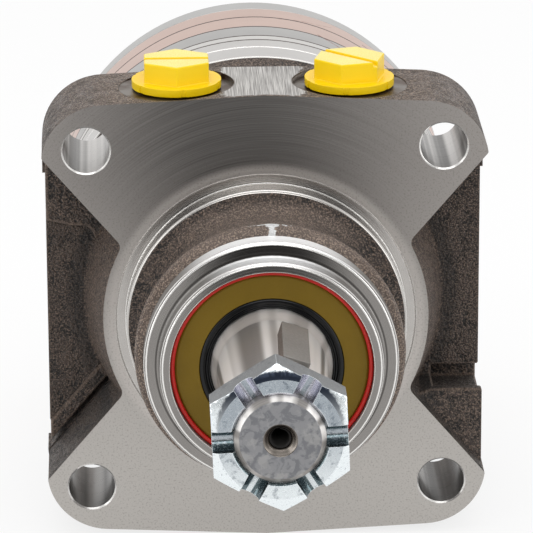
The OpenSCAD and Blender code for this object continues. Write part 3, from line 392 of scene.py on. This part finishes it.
def machined_material(
        name, base, light, rings, rough, metal=1.0, top_shade=0.0, seam_r=0.0, lit_top_z=0.0, scratched=False):
    """
    Turned metal: tool marks, soft blotches and a slight sheen.

    rings is 1 on a face and 0 on a side. top_shade darkens the metal above the axis as painted shade, seam_r
    is the radius of a dark line, and lit_top_z is the height from which the metal is painted white as a
    painted highlight.
    """
    mat, net, node = new_material(name, base, metal, rough, Anisotropic=0.45)
    marks = net.use(MARKS, Rings=rings)["Height"]
    cloud = net.use(PATCHES, Scale=70.0, Low=0.3, High=0.7)["Mask"]
    tint = net.blend(net.product(marks, 0.55), base, light)
    tint = net.blend(net.product(cloud, 0.22), tint, tuple(v * 0.8 for v in base))
    x, y, z = net.parts(net.place())
    # Painted shade: the metal darker above the axis, less so on the boss front
    if top_shade:
        high = net.product(net.step(z, 2 * MM, 34 * MM), net.step(net.absolute(x), 30 * MM, 6 * MM))
        back = net.step(y, -44.5 * MM, -42.5 * MM, 0.45, 1.0)
        tint = net.blend(net.product(high, back, top_shade), tint, srgb(40, 38, 37))
    if seam_r:
        near = net.absolute(net.math("SUBTRACT", net.hypot(x, z), seam_r))
        tint = net.blend(net.step(near, 0.4 * MM, 0.1 * MM, 0.0, 0.7), tint, srgb(44, 42, 40))
    # Painted highlight: the metal painted white towards its top, where it mirrors the lamp overhead
    if lit_top_z:
        tint = net.blend(net.step(z, lit_top_z - 11 * MM, lit_top_z), tint, WHITE)
    if scratched:
        tint = scratches(net, y, net.math("ARCTAN2", x, z), tint)
    net.set(node, "Base Color", tint)
    net.set(node, "Roughness", net.step(marks, 0.2, 0.8, rough - 0.07, rough + 0.09))
    net.set(node, "Normal", net.bump(marks, 0.02 * MM, 0.8))
    net.set(node, "Tangent", net.add("ShaderNodeTangent", direction_type="RADIAL", axis="Y").outputs[0])
    return mat


def deck_material():
    """The port deck: skin as cast, a milled strip between the ports and an oily spotface round each."""
    mat, net, node = new_material("port deck", srgb(150, 144, 138), 1.0, 0.36)
    at = net.place()
    x, y, _ = net.parts(at)
    lines = net.use(SCORES, Fineness=4200.0, Length=45.0)["Height"]
    ragged = net.math("MULTIPLY_ADD", net.noise(at, 420.0), 6 * MM, -3 * MM)
    strip_side = net.step(net.math("ADD", net.absolute(x), ragged), STRIP_X + MM, STRIP_X)
    strip_front = net.step(net.math("ADD", y, ragged), STRIP_Y - MM, STRIP_Y)
    strip = net.product(strip_side, strip_front)
    port_r = net.hypot(net.math("SUBTRACT", net.absolute(x), PORT_X), net.math("SUBTRACT", y, PORT_Y))
    spot = net.step(port_r, SPOTFACE_R + CLOSE, SPOTFACE_R)
    skin, skin_rough, skin_height = cast_look(net)
    milled = net.blend(net.step(lines, 0.3, 0.7), srgb(104, 99, 95), srgb(222, 219, 215))
    round_port = net.blend(net.use(PATCHES, Scale=120.0)["Mask"], srgb(128, 122, 116), srgb(84, 66, 52))
    cut = net.math("MAXIMUM", strip, spot)
    tint = net.blend(spot, net.blend(strip, skin, milled), round_port)
    other = net.math("SUBTRACT", 1.0, cut)
    height = net.math("ADD", net.product(skin_height, other), net.product(lines, cut, 0.04))
    net.set(node, "Base Color", tint)
    net.set(node, "Metallic", cut)
    net.set(node, "Roughness", net.math("ADD", net.product(skin_rough, other), net.product(cut, 0.38)))
    net.set(node, "Normal", net.bump(height, 1.2 * MM, 1.0))
    return mat


def shaft_material():
    """Ground taper: bright, with soft dark bands along its length as painted reflection, darker and browner
    below as painted shade, and paler beside the seal.
    """
    mat, net, node = new_material("ground shaft", srgb(206, 200, 194), 0.42, 0.3, Specular_IOR_Level=0.7)
    x, y, z = net.parts(net.place())
    angle = net.math("ARCTAN2", x, z)
    rings = net.use(MARKS, Rings=0.0, Pitch=2400.0)["Height"]
    # Painted reflection in bands round the taper, then painted shade on its underside
    bands = net.noise(net.vector(angle, 0.0, 0.37), 2.3, 1.0, 0.4)
    tint = net.blend(net.step(bands, 0.44, 0.56), srgb(84, 80, 77), srgb(232, 229, 226))
    tint = net.blend(net.step(net.absolute(angle), 1.25, 1.75, 0.0, 0.75), tint, srgb(92, 84, 78))
    tint = net.blend(net.product(rings, 0.4), tint, srgb(226, 222, 218))
    near_seal = net.product(net.step(y, -48.9 * MM, -48.3 * MM), net.step(y, -43.6 * MM, -44 * MM))
    tint = net.blend(net.product(near_seal, 0.55), tint, srgb(222, 216, 210))
    net.set(node, "Base Color", tint)
    net.set(node, "Roughness", net.step(rings, 0.2, 0.8, 0.28, 0.42))
    net.set(node, "Normal", net.bump(rings, 0.01 * MM, 0.6))
    return mat


def end_face_material():
    """The shaft's sawn end: grey steel with dark and pale stains."""
    steel = srgb(140, 140, 142)
    mat, net, node = new_material("sawn shaft end", steel, 0.85, 0.42)
    at = net.place()
    dark = net.step(net.noise(at, 300.0, 6.0, 0.6, 0.8), 0.46, 0.56, 0.0, 0.8)
    beside = net.vector(*[net.math("ADD", v, 0.03) for v in net.parts(at)])
    pale = net.step(net.noise(beside, 210.0, 6.0, 0.6), 0.5, 0.6, 0.0, 0.7)
    tint = net.blend(dark, steel, srgb(116, 117, 121))
    tint = net.blend(pale, tint, srgb(160, 159, 158))
    net.set(node, "Base Color", tint)
    net.set(node, "Roughness", net.step(dark, 0.0, 1.0, 0.38, 0.5))
    net.set(node, "Normal", net.bump(net.noise(at, 2400.0, 2.0), 0.04 * MM, 0.7))
    return mat


def nut_material(
        name, low, high, dull, metallic=0.8, rough=0.3, spots=(0.56, 0.66), rise=(-17 * MM, 8 * MM)):
    """Bluish zinc plate, from one tone at the nut's foot to another at its top, with dull blotches."""
    mat, net, node = new_material(name, low, metallic, rough)
    at = net.place()
    z = net.parts(at)[2]
    tint = net.blend(net.step(z, *rise), low, high)
    tint = net.blend(net.step(net.noise(at, 380.0, 4.0, 0.7), *spots, 0.0, 0.8), tint, dull)
    grain = net.noise(at, 2600.0, 2.0)
    tint = net.blend(net.step(grain, 0.5, 0.75, 0.0, 0.35), tint, srgb(236, 240, 242))
    net.set(node, "Base Color", tint)
    net.set(node, "Roughness", net.step(grain, 0.3, 0.7, rough - 0.06, rough + 0.12))
    net.set(node, "Normal", net.bump(grain, 0.04 * MM, 0.7))
    return mat


def nut_bevel_material():
    """The nut's corner bevels: bright zinc outside, a ragged dark boundary inside, darker towards the top."""
    mat, net, node = new_material("zinc bevel", srgb(232, 238, 240), 0.75, 0.26)
    at = net.place()
    x, _, z = net.parts(at)
    ragged = net.math("MULTIPLY_ADD", net.noise(at, 900.0, 4.0, 0.7), 2.2 * MM, net.hypot(x, z))
    boundary = [net.step(z, 0.0, 18 * MM, low, low + 2 * MM) for low in (19.2 * MM, 18.2 * MM)]
    dark = net.product(net.step(ragged, *boundary), net.step(z, -6 * MM, 15 * MM))
    spots = net.step(net.noise(at, 1500.0, 3.0, 0.7), 0.6, 0.68, 0.0, 0.5)
    tint = net.blend(spots, srgb(234, 240, 242), srgb(120, 132, 146))
    tint = net.blend(dark, tint, srgb(38, 46, 60))
    net.set(node, "Base Color", tint)
    net.set(node, "Roughness", net.step(dark, 0.0, 1.0, 0.22, 0.34))
    net.set(node, "Normal", net.bump(net.noise(at, 2600.0, 2.0), 0.04 * MM, 0.7))
    return mat


def flange_material():
    """The milled mounting face: fine marks, a painted reflection that darkens its top and brightens it low
    down, and brighter round the pilot.
    """
    mat, net, node = new_material("mounting face", srgb(168, 163, 158), 1.0, 0.42, Anisotropic=0.3)
    marks = net.use(MARKS, Rings=1.0, Pitch=3200.0, Wander=1.0)["Height"]
    x, _, z = net.parts(net.place())
    # Painted reflection: darker high up and brighter low down, with painted shade in the top middle
    tint = net.blend(net.step(z, -55 * MM, 50 * MM), srgb(182, 178, 173), srgb(146, 141, 137))
    aside = net.absolute(net.math("ADD", x, 9 * MM))
    top_shade = net.product(net.step(z, 12 * MM, 56 * MM), net.step(aside, 72 * MM, 4 * MM))
    tint = net.blend(top_shade, tint, srgb(36, 34, 33))
    tint = net.blend(net.step(net.hypot(x, z), 48.2 * MM, 45.5 * MM, 0.0, 0.75), tint, srgb(196, 190, 185))
    tint = net.blend(net.product(marks, 0.35), tint, srgb(196, 192, 188))
    speck = net.step(net.noise(net.place(), 1900.0, 3.0), 0.52, 0.66)
    tint = net.blend(net.product(speck, 0.32), tint, srgb(96, 88, 82))
    net.set(node, "Base Color", tint)
    net.set(node, "Roughness", net.step(marks, 0.2, 0.8, 0.36, 0.5))
    net.set(node, "Normal", net.bump(marks, 0.015 * MM, 0.8))
    return mat


def plain_material(name, base, rough, metallic, scale, change, depth, **shader):
    """
    Moulded rubber, plastic or plain steel with a light mottle and a fine grain.

    scale sets how fine both are, change how strong the mottle is, and depth the grain's height in mm.
    """
    mat, net, node = new_material(name, base, metallic, rough, **shader)
    cloud = net.use(PATCHES, Scale=scale / 4, Low=0.3, High=0.7)["Mask"]
    grain = net.noise(net.place(), scale * 6, 3.0)
    tint = net.blend(net.product(cloud, change), base, tuple(v * 0.72 for v in base))
    net.set(node, "Base Color", tint)
    net.set(node, "Roughness", net.step(grain, 0.3, 0.7, rough * 0.85, min(1.0, rough * 1.2)))
    net.set(node, "Normal", net.bump(grain, depth * MM, 0.7))
    return mat


CAST = cast_material("cast iron skin")
FACE = flange_material()
RINGS = machined_material("turned rings", srgb(168, 164, 160), srgb(222, 219, 215), 1.0, 0.22)
FRONT = machined_material(
    "turned front", srgb(130, 127, 124), srgb(170, 166, 162), 1.0, 0.26, top_shade=0.9, seam_r=33.1 * MM)
NOSE_SIDE = machined_material(
    "turned nose side", srgb(118, 115, 112), srgb(160, 157, 153), 0.0, 0.34, metal=0.35,
    lit_top_z=35.5 * MM)
BAND = machined_material("turned band", srgb(188, 185, 182), srgb(228, 226, 223), 0.0, 0.34)
HOLES = hole_material()
# The casting's rounded rims painted paler: partly wear, partly a painted highlight where the edges catch the
# light
RIM = cast_material("cast rim, worn and painted lit", 0.3)
# The lower pocket flanks darkened as painted shade
FLANK = cast_material("cast flank, painted shade", -0.45)
# Pale rounds on the bolt holes' rims and on turned edges: a painted highlight along the edges
HOLE_RIM = plain_material("hole rim", srgb(226, 224, 221), 0.2, 0.7, 300.0, 0.1, 0.01)
TURNED_EDGE = plain_material("turned edge", srgb(232, 230, 227), 0.2, 0.75, 300.0, 0.1, 0.01)
SEAM = plain_material("plate seam", srgb(92, 84, 80), 0.5, 0.3, 300.0, 0.4, 0.02)
DECK = deck_material()
PLATE_GREY = machined_material(
    "plate edge grey", srgb(164, 162, 160), srgb(206, 204, 201), 0.0, 0.36, scratched=True)
PLATE_LIGHT = machined_material("plate edge light", srgb(204, 201, 197), srgb(226, 224, 221), 0.0, 0.34)
PLATE_PINK = machined_material(
    "plate edge rosy", srgb(198, 170, 158), srgb(222, 198, 187), 0.0, 0.36, scratched=True)
COVER = machined_material("cover steel", srgb(174, 173, 171), srgb(206, 205, 203), 0.0, 0.34)
SHAFT = shaft_material()
SHAFT_END = end_face_material()
# The centre hole's thread darkened as painted shade inside the hole
THREAD = plain_material("thread in painted shade", srgb(44, 42, 41), 0.45, 0.2, 300.0, 0.2, 0.01)
HOLE_MOUTH = machined_material("centre hole mouth", srgb(78, 72, 66), srgb(190, 182, 174), 0.0, 0.26)
KEY = plain_material("key steel", srgb(136, 132, 127), 0.42, 0.4, 260.0, 0.4, 0.04)
KEY_SIDE = plain_material("key flank", srgb(96, 84, 76), 0.42, 0.4, 260.0, 0.4, 0.04)
NUT = nut_material(
    "zinc front", srgb(224, 230, 232), srgb(158, 166, 173), srgb(98, 108, 118), spots=(0.5, 0.7))
NUT_BEVEL = nut_bevel_material()
NUT_SIDE = nut_material("zinc flats", srgb(150, 152, 154), srgb(142, 144, 146), srgb(118, 120, 122), 0.6, 0.4)
# The slots go from a dark foot to a pale top: painted shade and light across their curved floors
NUT_SLOT = nut_material(
    "zinc slots", srgb(92, 106, 110), srgb(204, 204, 214), srgb(150, 156, 166), 0.95, 0.18, spots=(0.5, 0.8),
    rise=(0.0, 14 * MM))
NUT_EDGE = nut_material("zinc edges", srgb(236, 242, 244), srgb(226, 232, 236), srgb(190, 198, 204), 0.6, 0.2)
OLIVE = plain_material(
    "yellow passivated steel", srgb(112, 89, 16), 0.6, 0.0, 300.0, 0.4, 0.02, Specular_IOR_Level=0.25)
RED = plain_material("red rubber", srgb(190, 28, 20), 0.42, 0.0, 300.0, 0.3, 0.03)
BLACK = plain_material("black rubber", srgb(6, 7, 9), 0.2, 0.0, 300.0, 0.2, 0.01, Specular_IOR_Level=0.3)
YELLOW = plain_material(
    "yellow plastic", srgb(246, 208, 4), 0.36, 0.0, 200.0, 0.1, 0.02, Specular_IOR_Level=0.3)
# The plugs' tops painted paler than their sides: a painted highlight from the light above
YELLOW_LIT_TOP = plain_material("yellow plastic, top painted lit", srgb(246, 226, 118), 0.3, 0.0, 500.0, 0.25, 0.04)
BRIGHT = plain_material("bearing steel", srgb(190, 189, 188), 0.24, 1.0, 300.0, 0.25, 0.01)
DARK = plain_material("hardened steel", srgb(96, 96, 98), 0.4, 1.0, 300.0, 0.4, 0.03)
BRONZE = plain_material("cage bronze", srgb(168, 128, 72), 0.36, 1.0, 300.0, 0.3, 0.02)


# Pieces made from the solids' own faces

def add_marks(bm):
    """Face marks: flat ones are shaded flat, and rounds are those that round_edges made."""
    bm.faces.layers.int.new("rounds")
    return bm.faces.layers.int.new("flat")


def solid_mesh(node):
    """The node's faces as one closed mesh, with coplanar triangles joined."""
    bm = bmesh.new()
    bm.from_mesh(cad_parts[node].data)
    bmesh.ops.remove_doubles(bm, verts=bm.verts, dist=0.02 * MM)
    bmesh.ops.dissolve_limit(
        bm, angle_limit=math.radians(0.3), use_dissolve_boundaries=False, verts=bm.verts, edges=bm.edges)
    flat = add_marks(bm)
    for f in bm.faces:
        turns = [math.degrees(e.calc_face_angle(0)) for e in f.edges]
        f[flat] = all(t > 16 or t < 0.5 for t in turns)
    return bm


def linked_groups(edges):
    """The edges in groups that share corners."""
    at_corner = {}
    for e in edges:
        for v in e.verts:
            at_corner.setdefault(v, []).append(e)
    groups, seen = [], set()
    for first in edges:
        if first in seen:
            continue
        seen.add(first)
        group, ahead = [], [first]
        while ahead:
            e = ahead.pop()
            group.append(e)
            for v in e.verts:
                for other in at_corner[v]:
                    if other not in seen:
                        seen.add(other)
                        ahead.append(other)
        groups.append(group)
    return groups


def round_edges(bm, width, segments, pick=None, angle=28, look=None):
    """Rounds the edges sharper than angle that pick accepts; the rounds take the material look, if given."""
    limit = math.radians(angle)
    chosen = []
    for e in bm.edges:
        if len(e.link_faces) == 2 and e.calc_face_angle(0) > limit and (pick is None or pick(e)):
            chosen.append(e)
    flat = bm.faces.layers.int["flat"]
    rounds = bm.faces.layers.int["rounds"]
    for group in linked_groups(chosen):
        made = bmesh.ops.bevel(
            bm, geom=group, offset=width, offset_type="OFFSET", segments=segments, profile=0.5,
            affect="EDGES", clamp_overlap=True, material=-1)
        for f in made["faces"]:
            f[flat] = 0
            f[rounds] = 1
            if look is not None:
                f.material_index = look
    bmesh.ops.dissolve_degenerate(bm, dist=0.001 * MM, edges=bm.edges)


def finish_piece(bm, name, body, nodes, materials, sharp=38):
    """Turns a mesh into a piece that stands for the named nodes."""
    mesh = bpy.data.meshes.new(name)
    flat = bm.faces.layers.int["flat"]
    for f in bm.faces:
        f.smooth = not f[flat]
    bm.to_mesh(mesh)
    bm.free()
    for mat in materials:
        mesh.materials.append(mat)
    mesh.set_sharp_from_angle(angle=math.radians(sharp))
    piece = bpy.data.objects.new(name, mesh)
    bpy.context.scene.collection.objects.link(piece)
    normals = piece.modifiers.new("flat faces", "WEIGHTED_NORMAL")
    normals.keep_sharp = True
    normals.weight = 80
    if nodes:
        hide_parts(*nodes)
    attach(piece, body)


def simple_piece(node, body, materials, width, segments, paint=None, rim=None):
    """A node's solid with rounded edges; paint gives each face its material, and rim that of the rounds."""
    bm = solid_mesh(node)
    round_edges(bm, width * MM, segments)
    rounds = bm.faces.layers.int["rounds"]
    for f in bm.faces:
        if paint:
            f.material_index = paint(f)
        if rim is not None and f[rounds]:
            f.material_index = rim
    finish_piece(bm, node + "_piece", body, [node], materials)


def radius_of(p):
    """Distance of a point from the shaft axis."""
    return math.hypot(p.x, p.z)


# Housing: each face gets the finish that its place on the casting has

HOUSING_LOOKS = {
    "skin": CAST,
    "face": FACE,
    "pilot": RINGS,
    "band": BAND,
    "hole": HOLES,
    "deck": DECK,
    "skin rim": RIM,
    "flank": FLANK,
    "hole rim": HOLE_RIM,
    "nose front": FRONT,
    "nose side": NOSE_SIDE,
    "turned edge": TURNED_EDGE,
}
LOOK_NAMES = list(HOUSING_LOOKS)


def housing_look(f):
    """Name in HOUSING_LOOKS of the finish at this face's place."""
    at, n = f.calc_center_median(), f.normal
    reach = [radius_of(v.co) for v in f.verts]
    near, far = min(reach), max(reach)
    rear = max(v.co.y for v in f.verts)
    if abs(at.y) < CLOSE and n.y < -0.9:
        return "face"
    if near > PILOT_R - 0.8 * MM and far < PILOT_R + PILOT_RIM and at.y > -PILOT_H - CLOSE:
        return "pilot"
    if rear < -NOSE_START + 0.2 * MM and near > BOSS_R:
        return "nose front" if n.y < -0.9 else "nose side"
    for sx in (-1, 1):
        from_port = math.hypot(at.x - sx * PORT_X, at.y - PORT_Y)
        if from_port < SPOTFACE_R + CLOSE and at.z > 40 * MM and n.y > -0.9:
            return "deck"
        for sz in (-1, 1):
            from_hole = math.hypot(at.x - sx * HOLE_AT, at.z - sz * HOLE_AT)
            if abs(n.y) < 0.1 and from_hole < HOLE_R + CLOSE:
                return "hole"
    if n.z > 0.95 and at.z > SPOTFACE_Z - CLOSE and -MM < at.y < FLANGE_T + MM:
        return "deck"
    if at.y > TURNED_Y and near > STACK_R - 2 * MM:
        return "band"
    if far < BORE_R and at.y > BORE_Y:
        return "hole"
    on_flank = abs(n.y) < 0.15 and near > WAIST_R and 0 < at.y < FLOOR_Y
    if on_flank and at.z < -20 * MM and n.z > 0.3 and abs(at.x) < WEB_X:
        return "flank"
    return "skin"


def make_housing():
    """The casting: each face with its finish, and each edge with the round that casting or cutting leaves."""
    bm = solid_mesh("housing")
    for f in bm.faces:
        f.material_index = LOOK_NAMES.index(housing_look(f))

    def beside(e):
        return {LOOK_NAMES[f.material_index] for f in e.link_faces}

    def lug_side(e):
        return e.calc_length() > 15 * MM and all(
            abs(v.co.x) > LUG_SIDE_X and abs(v.co.z) > LUG_SIDE_Z for v in e.verts)

    def open_skin(e):
        shortest = min(side.calc_length() for v in e.verts for side in v.link_edges)
        return beside(e) <= {"skin", "flank"} and e.verts[0].co.y < 60 * MM and shortest > 0.9 * MM

    def hole_edge(e):
        return beside(e) == {"face", "hole"}

    def turned_edge(e):
        looks = beside(e)
        turned = looks & {"pilot", "band", "nose front", "nose side"}
        return turned and not looks & {"skin", "deck", "skin rim", "flank", "hole rim"}

    round_edges(bm, 2.2 * MM, 4, lug_side, 20)
    round_edges(bm, 1.1 * MM, 3, open_skin, 25, LOOK_NAMES.index("skin rim"))
    round_edges(bm, 0.45 * MM, 1, hole_edge, 35, LOOK_NAMES.index("hole rim"))
    round_edges(bm, 0.25 * MM, 2, turned_edge, 35, LOOK_NAMES.index("turned edge"))
    finish_piece(bm, "housing_casting", "motor_body", ["housing"], HOUSING_LOOKS.values())


make_housing()


def casting_step(name, outline, sunk, height):
    """A low step of the casting on a pocket's floor, sunk into it, with its front edges rounded."""
    bm = bmesh.new()
    flat = add_marks(bm)
    base = bm.faces.new([bm.verts.new((x * MM, FLOOR_Y + sunk * MM, z * MM)) for x, z in outline])
    top = bmesh.ops.extrude_face_region(bm, geom=[base])
    moved = [v for v in top["geom"] if isinstance(v, bmesh.types.BMVert)]
    bmesh.ops.translate(bm, verts=moved, vec=(0, -(sunk + height) * MM, 0))
    bmesh.ops.recalc_face_normals(bm, faces=bm.faces)
    for f in bm.faces:
        f[flat] = 1
    round_edges(bm, 0.9 * MM, 3, lambda e: all(v in moved for v in e.verts), 25, 1)
    finish_piece(bm, name, "motor_body", [], [CAST, RIM])


# The raised corner of the left pocket, and the ridge beside its slot
casting_step(
    "left_pocket_corner",
    [(-64.58, 25), (-56.5, 23.2), (-52.8, 23.2), (-51, 21.6), (-50, 19.2), (-43, 22.9), (-64.58, 48.6)],
    sunk=1, height=1.8)
casting_step(
    "left_pocket_ridge",
    [(-44, -20.8), (-46, -16.8), (-64.4, -38.3), (-64.4, -44.7)],
    sunk=6, height=0.9)


def shaft_look(f):
    """2 for the centre hole's mouth and wall, 1 for the sawn end, 0 for the ground shaft."""
    at, n = f.calc_center_median(), f.normal
    if radius_of(at) < HOLE_MOUTH_R and at.y < HOLE_MOUTH_Y and n.y > -0.9:
        return 2
    return 1 if at.y < SHAFT_END_Y and n.y < -0.8 else 0


def make_hole_thread():
    """The centre hole's thread: rows of a zigzag outline, each turn led into the next."""
    bm = bmesh.new()
    add_marks(bm)
    rows = []
    for k in range(2 * int((THREAD_END - THREAD_START) / THREAD_PITCH) + 1):
        r = THREAD_R - (THREAD_DEPTH if k % 2 else 0.0)
        row = []
        for j in range(THREAD_SIDES):
            a = 2 * math.pi * j / THREAD_SIDES
            y = THREAD_START + THREAD_PITCH * (k / 2 + j / THREAD_SIDES)
            row.append(bm.verts.new((r * math.sin(a), min(y, THREAD_END), r * math.cos(a))))
        rows.append(row)
    for k, (low, high) in enumerate(zip(rows, rows[1:])):
        for j in range(THREAD_SIDES - 1):
            bm.faces.new((low[j], low[j + 1], high[j + 1], high[j]))
        if k + 3 < len(rows):
            bm.faces.new((low[-1], rows[k + 2][0], rows[k + 3][0], high[-1]))
    finish_piece(bm, "centre_hole_thread", "shaft", [], [THREAD], 20)


def key_look(f):
    """1 for the key's flanks."""
    return 1 if abs(f.normal.x) > 0.8 else 0


def nut_look(f):
    """Front and rear faces, bevels, flats and slots, in the order of the nut's materials."""
    at, n = f.calc_center_median(), f.normal
    outward = (n.x * at.x + n.z * at.z) / max(radius_of(at), MM)
    if abs(n.y) > 0.97:
        return 0
    if outward > 0.9:
        return 2
    if outward > 0.2 and abs(n.y) > 0.5:
        return 1
    return 3


def plate_look(f):
    """Seams where a plate's edges are rounded, the plate's own metal elsewhere."""
    at, n = f.calc_center_median(), f.normal
    return 1 if radius_of(at) > STACK_R - MM and 0.2 < abs(n.y) < 0.98 else 0


def plug_look(f):
    """1 for the plug's top face."""
    return 1 if f.normal.z > 0.9 and f.calc_center_median().z > SPOTFACE_Z + 4 * MM else 0


simple_piece("output_shaft", "shaft", [SHAFT, SHAFT_END, HOLE_MOUTH], 0.25, 2, shaft_look)
make_hole_thread()
simple_piece("shaft_key", "shaft", [KEY, KEY_SIDE], 0.3, 2, key_look)
NUT_LOOKS = [NUT, NUT_BEVEL, NUT_SIDE, NUT_SLOT, NUT_EDGE]
simple_piece("castle_nut", "shaft", NUT_LOOKS, 0.3, 1, nut_look, rim=NUT_LOOKS.index(NUT_EDGE))
simple_piece("dust_seal_case", "motor_body", [OLIVE], 0.15, 2)
simple_piece("dust_seal_rim", "motor_body", [RED], 0.1, 2)
simple_piece("dust_seal_lip", "motor_body", [BLACK], 0.08, 2)
simple_piece("wear_plate", "motor_body", [PLATE_LIGHT, SEAM], 0.16, 1, plate_look)
simple_piece("stator_ring", "motor_body", [PLATE_GREY, SEAM], 0.16, 1, plate_look)
simple_piece("manifold", "motor_body", [PLATE_PINK, SEAM], 0.16, 1, plate_look)
simple_piece("commutator_ring", "motor_body", [PLATE_PINK, SEAM], 0.16, 1, plate_look)
simple_piece("end_cover", "motor_body", [COVER], 0.3, 2)
simple_piece("cover_bolts", "motor_body", [DARK], 0.25, 2)
for plug in ("port_plug_left", "port_plug_right"):
    simple_piece(plug, plug, [YELLOW, YELLOW_LIT_TOP], 0.45, 3, plug_look)


# The sealed inner pieces keep their solids and get their finish

INNER = [
    (BRIGHT, ["outer_bearing_cup", "outer_bearing_needles", "front_thrust_washer", "front_thrust_needles",
              "inner_bearing_cup", "inner_bearing_needles", "rear_thrust_needles", "rear_thrust_washer",
              "rotor", "commutator"] + ["roller_%d" % k for k in range(1, 8)]),
    (DARK, ["seal_backup_washer", "drive_link"]),
    (BRONZE, ["outer_bearing_cage", "front_thrust_cage", "inner_bearing_cage", "rear_thrust_cage"]),
    (BLACK, ["shaft_seal", "commutator_seal"] + ["face_seal_%d" % k for k in range(1, 6)]),
]
for mat, names in INNER:
    for name in names:
        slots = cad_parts[name].data.materials
        slots.clear()
        slots.append(mat)


# Floor, background and lamps

def seen_as_background(net, path):
    """1 for the rays that show the background: the camera's, and those mirrored or let through."""
    mirrored = net.math("MAXIMUM", path.outputs["Is Glossy Ray"], path.outputs["Is Transmission Ray"])
    return net.math("MAXIMUM", path.outputs["Is Camera Ray"], mirrored)


def make_stage():
    """A pale floor just under the motor, which keeps its shadow."""
    under = Matrix.Translation((0, 0, cad_box[0][2] - 0.2 * MM))
    bm = bmesh.new()
    bmesh.ops.create_circle(bm, cap_ends=True, segments=96, radius=3.0, matrix=under)
    mesh = bpy.data.meshes.new("floor")
    bm.to_mesh(mesh)
    bm.free()
    floor = bpy.data.objects.new("floor", mesh)
    bpy.context.scene.collection.objects.link(floor)
    mat = bpy.data.materials.new("pale floor")
    mat.use_nodes = True
    mat.node_tree.nodes.clear()
    net = Net(mat.node_tree)
    lit = net.add("ShaderNodeBsdfDiffuse")
    lit.inputs["Color"].default_value = (0.9, 0.9, 0.9, 1)
    white = net.add("ShaderNodeEmission")
    white.inputs["Color"].default_value = (*WHITE, 1)
    path = net.add("ShaderNodeLightPath")
    mix = net.add("ShaderNodeMixShader")
    net.set(mix, 0, net.product(seen_as_background(net, path), 0.8))
    net.tree.links.new(lit.outputs[0], mix.inputs[1])
    net.tree.links.new(white.outputs[0], mix.inputs[2])
    net.tree.links.new(mix.outputs[0], net.add("ShaderNodeOutputMaterial").inputs[0])
    mesh.materials.append(mat)


def make_world():
    """Pale overhead, darker in front, a lighter wall on each side, and white behind and to the camera."""
    world = bpy.data.worlds.new("studio")
    bpy.context.scene.world = world
    world.use_nodes = True
    world.node_tree.nodes.clear()
    net = Net(world.node_tree)
    x, y, z = net.parts(net.add("ShaderNodeTexCoord").outputs["Generated"])
    level = net.step(z, -0.1, 0.9, 0.32, 0.8)
    sides = net.step(net.absolute(x), 0.45, 0.9, 0.0, 0.4)
    front = net.step(y, -0.5, -0.95, 0.0, 0.25)
    back = net.product(net.step(y, 0.75, 0.95, 0.0, 0.5), net.step(z, 0.05, 0.25))
    level = net.math("ADD", net.math("SUBTRACT", net.math("ADD", level, sides), front), back)
    path = net.add("ShaderNodeLightPath")
    behind = net.product(seen_as_background(net, path), net.step(y, 0.3, 0.7))
    white = net.math("MAXIMUM", path.outputs["Is Camera Ray"], behind)
    level = net.math("ADD", net.product(level, net.math("SUBTRACT", 1.0, white)), white)
    shade = net.add("ShaderNodeBackground")
    shade.inputs["Color"].default_value = (*WHITE, 1)
    net.set(shade, "Strength", level)
    net.tree.links.new(shade.outputs[0], net.add("ShaderNodeOutputWorld").inputs[0])


def add_lamp(name, at, size, power):
    """A soft lamp that points at the shaft axis in the mounting face."""
    data = bpy.data.lights.new(name, "AREA")
    data.shape = "RECTANGLE"
    data.size, data.size_y = size
    data.energy = power
    lamp = bpy.data.objects.new(name, data)
    bpy.context.scene.collection.objects.link(lamp)
    lamp.location = at
    lamp.rotation_euler = (-Vector(at)).to_track_quat("-Z", "Y").to_euler()


make_stage()
make_world()
add_lamp("top softbox", (0, -0.1, 1.2), (1.2, 0.8), 4.5)
add_lamp("front softbox", (0, -1.3, 0.75), (0.9, 0.5), 4)
add_lamp("left softbox", (-1.1, -0.6, 0.35), (0.4, 1.0), 3)
add_lamp("right softbox", (1.1, -0.7, 0.3), (0.4, 1.0), 3)
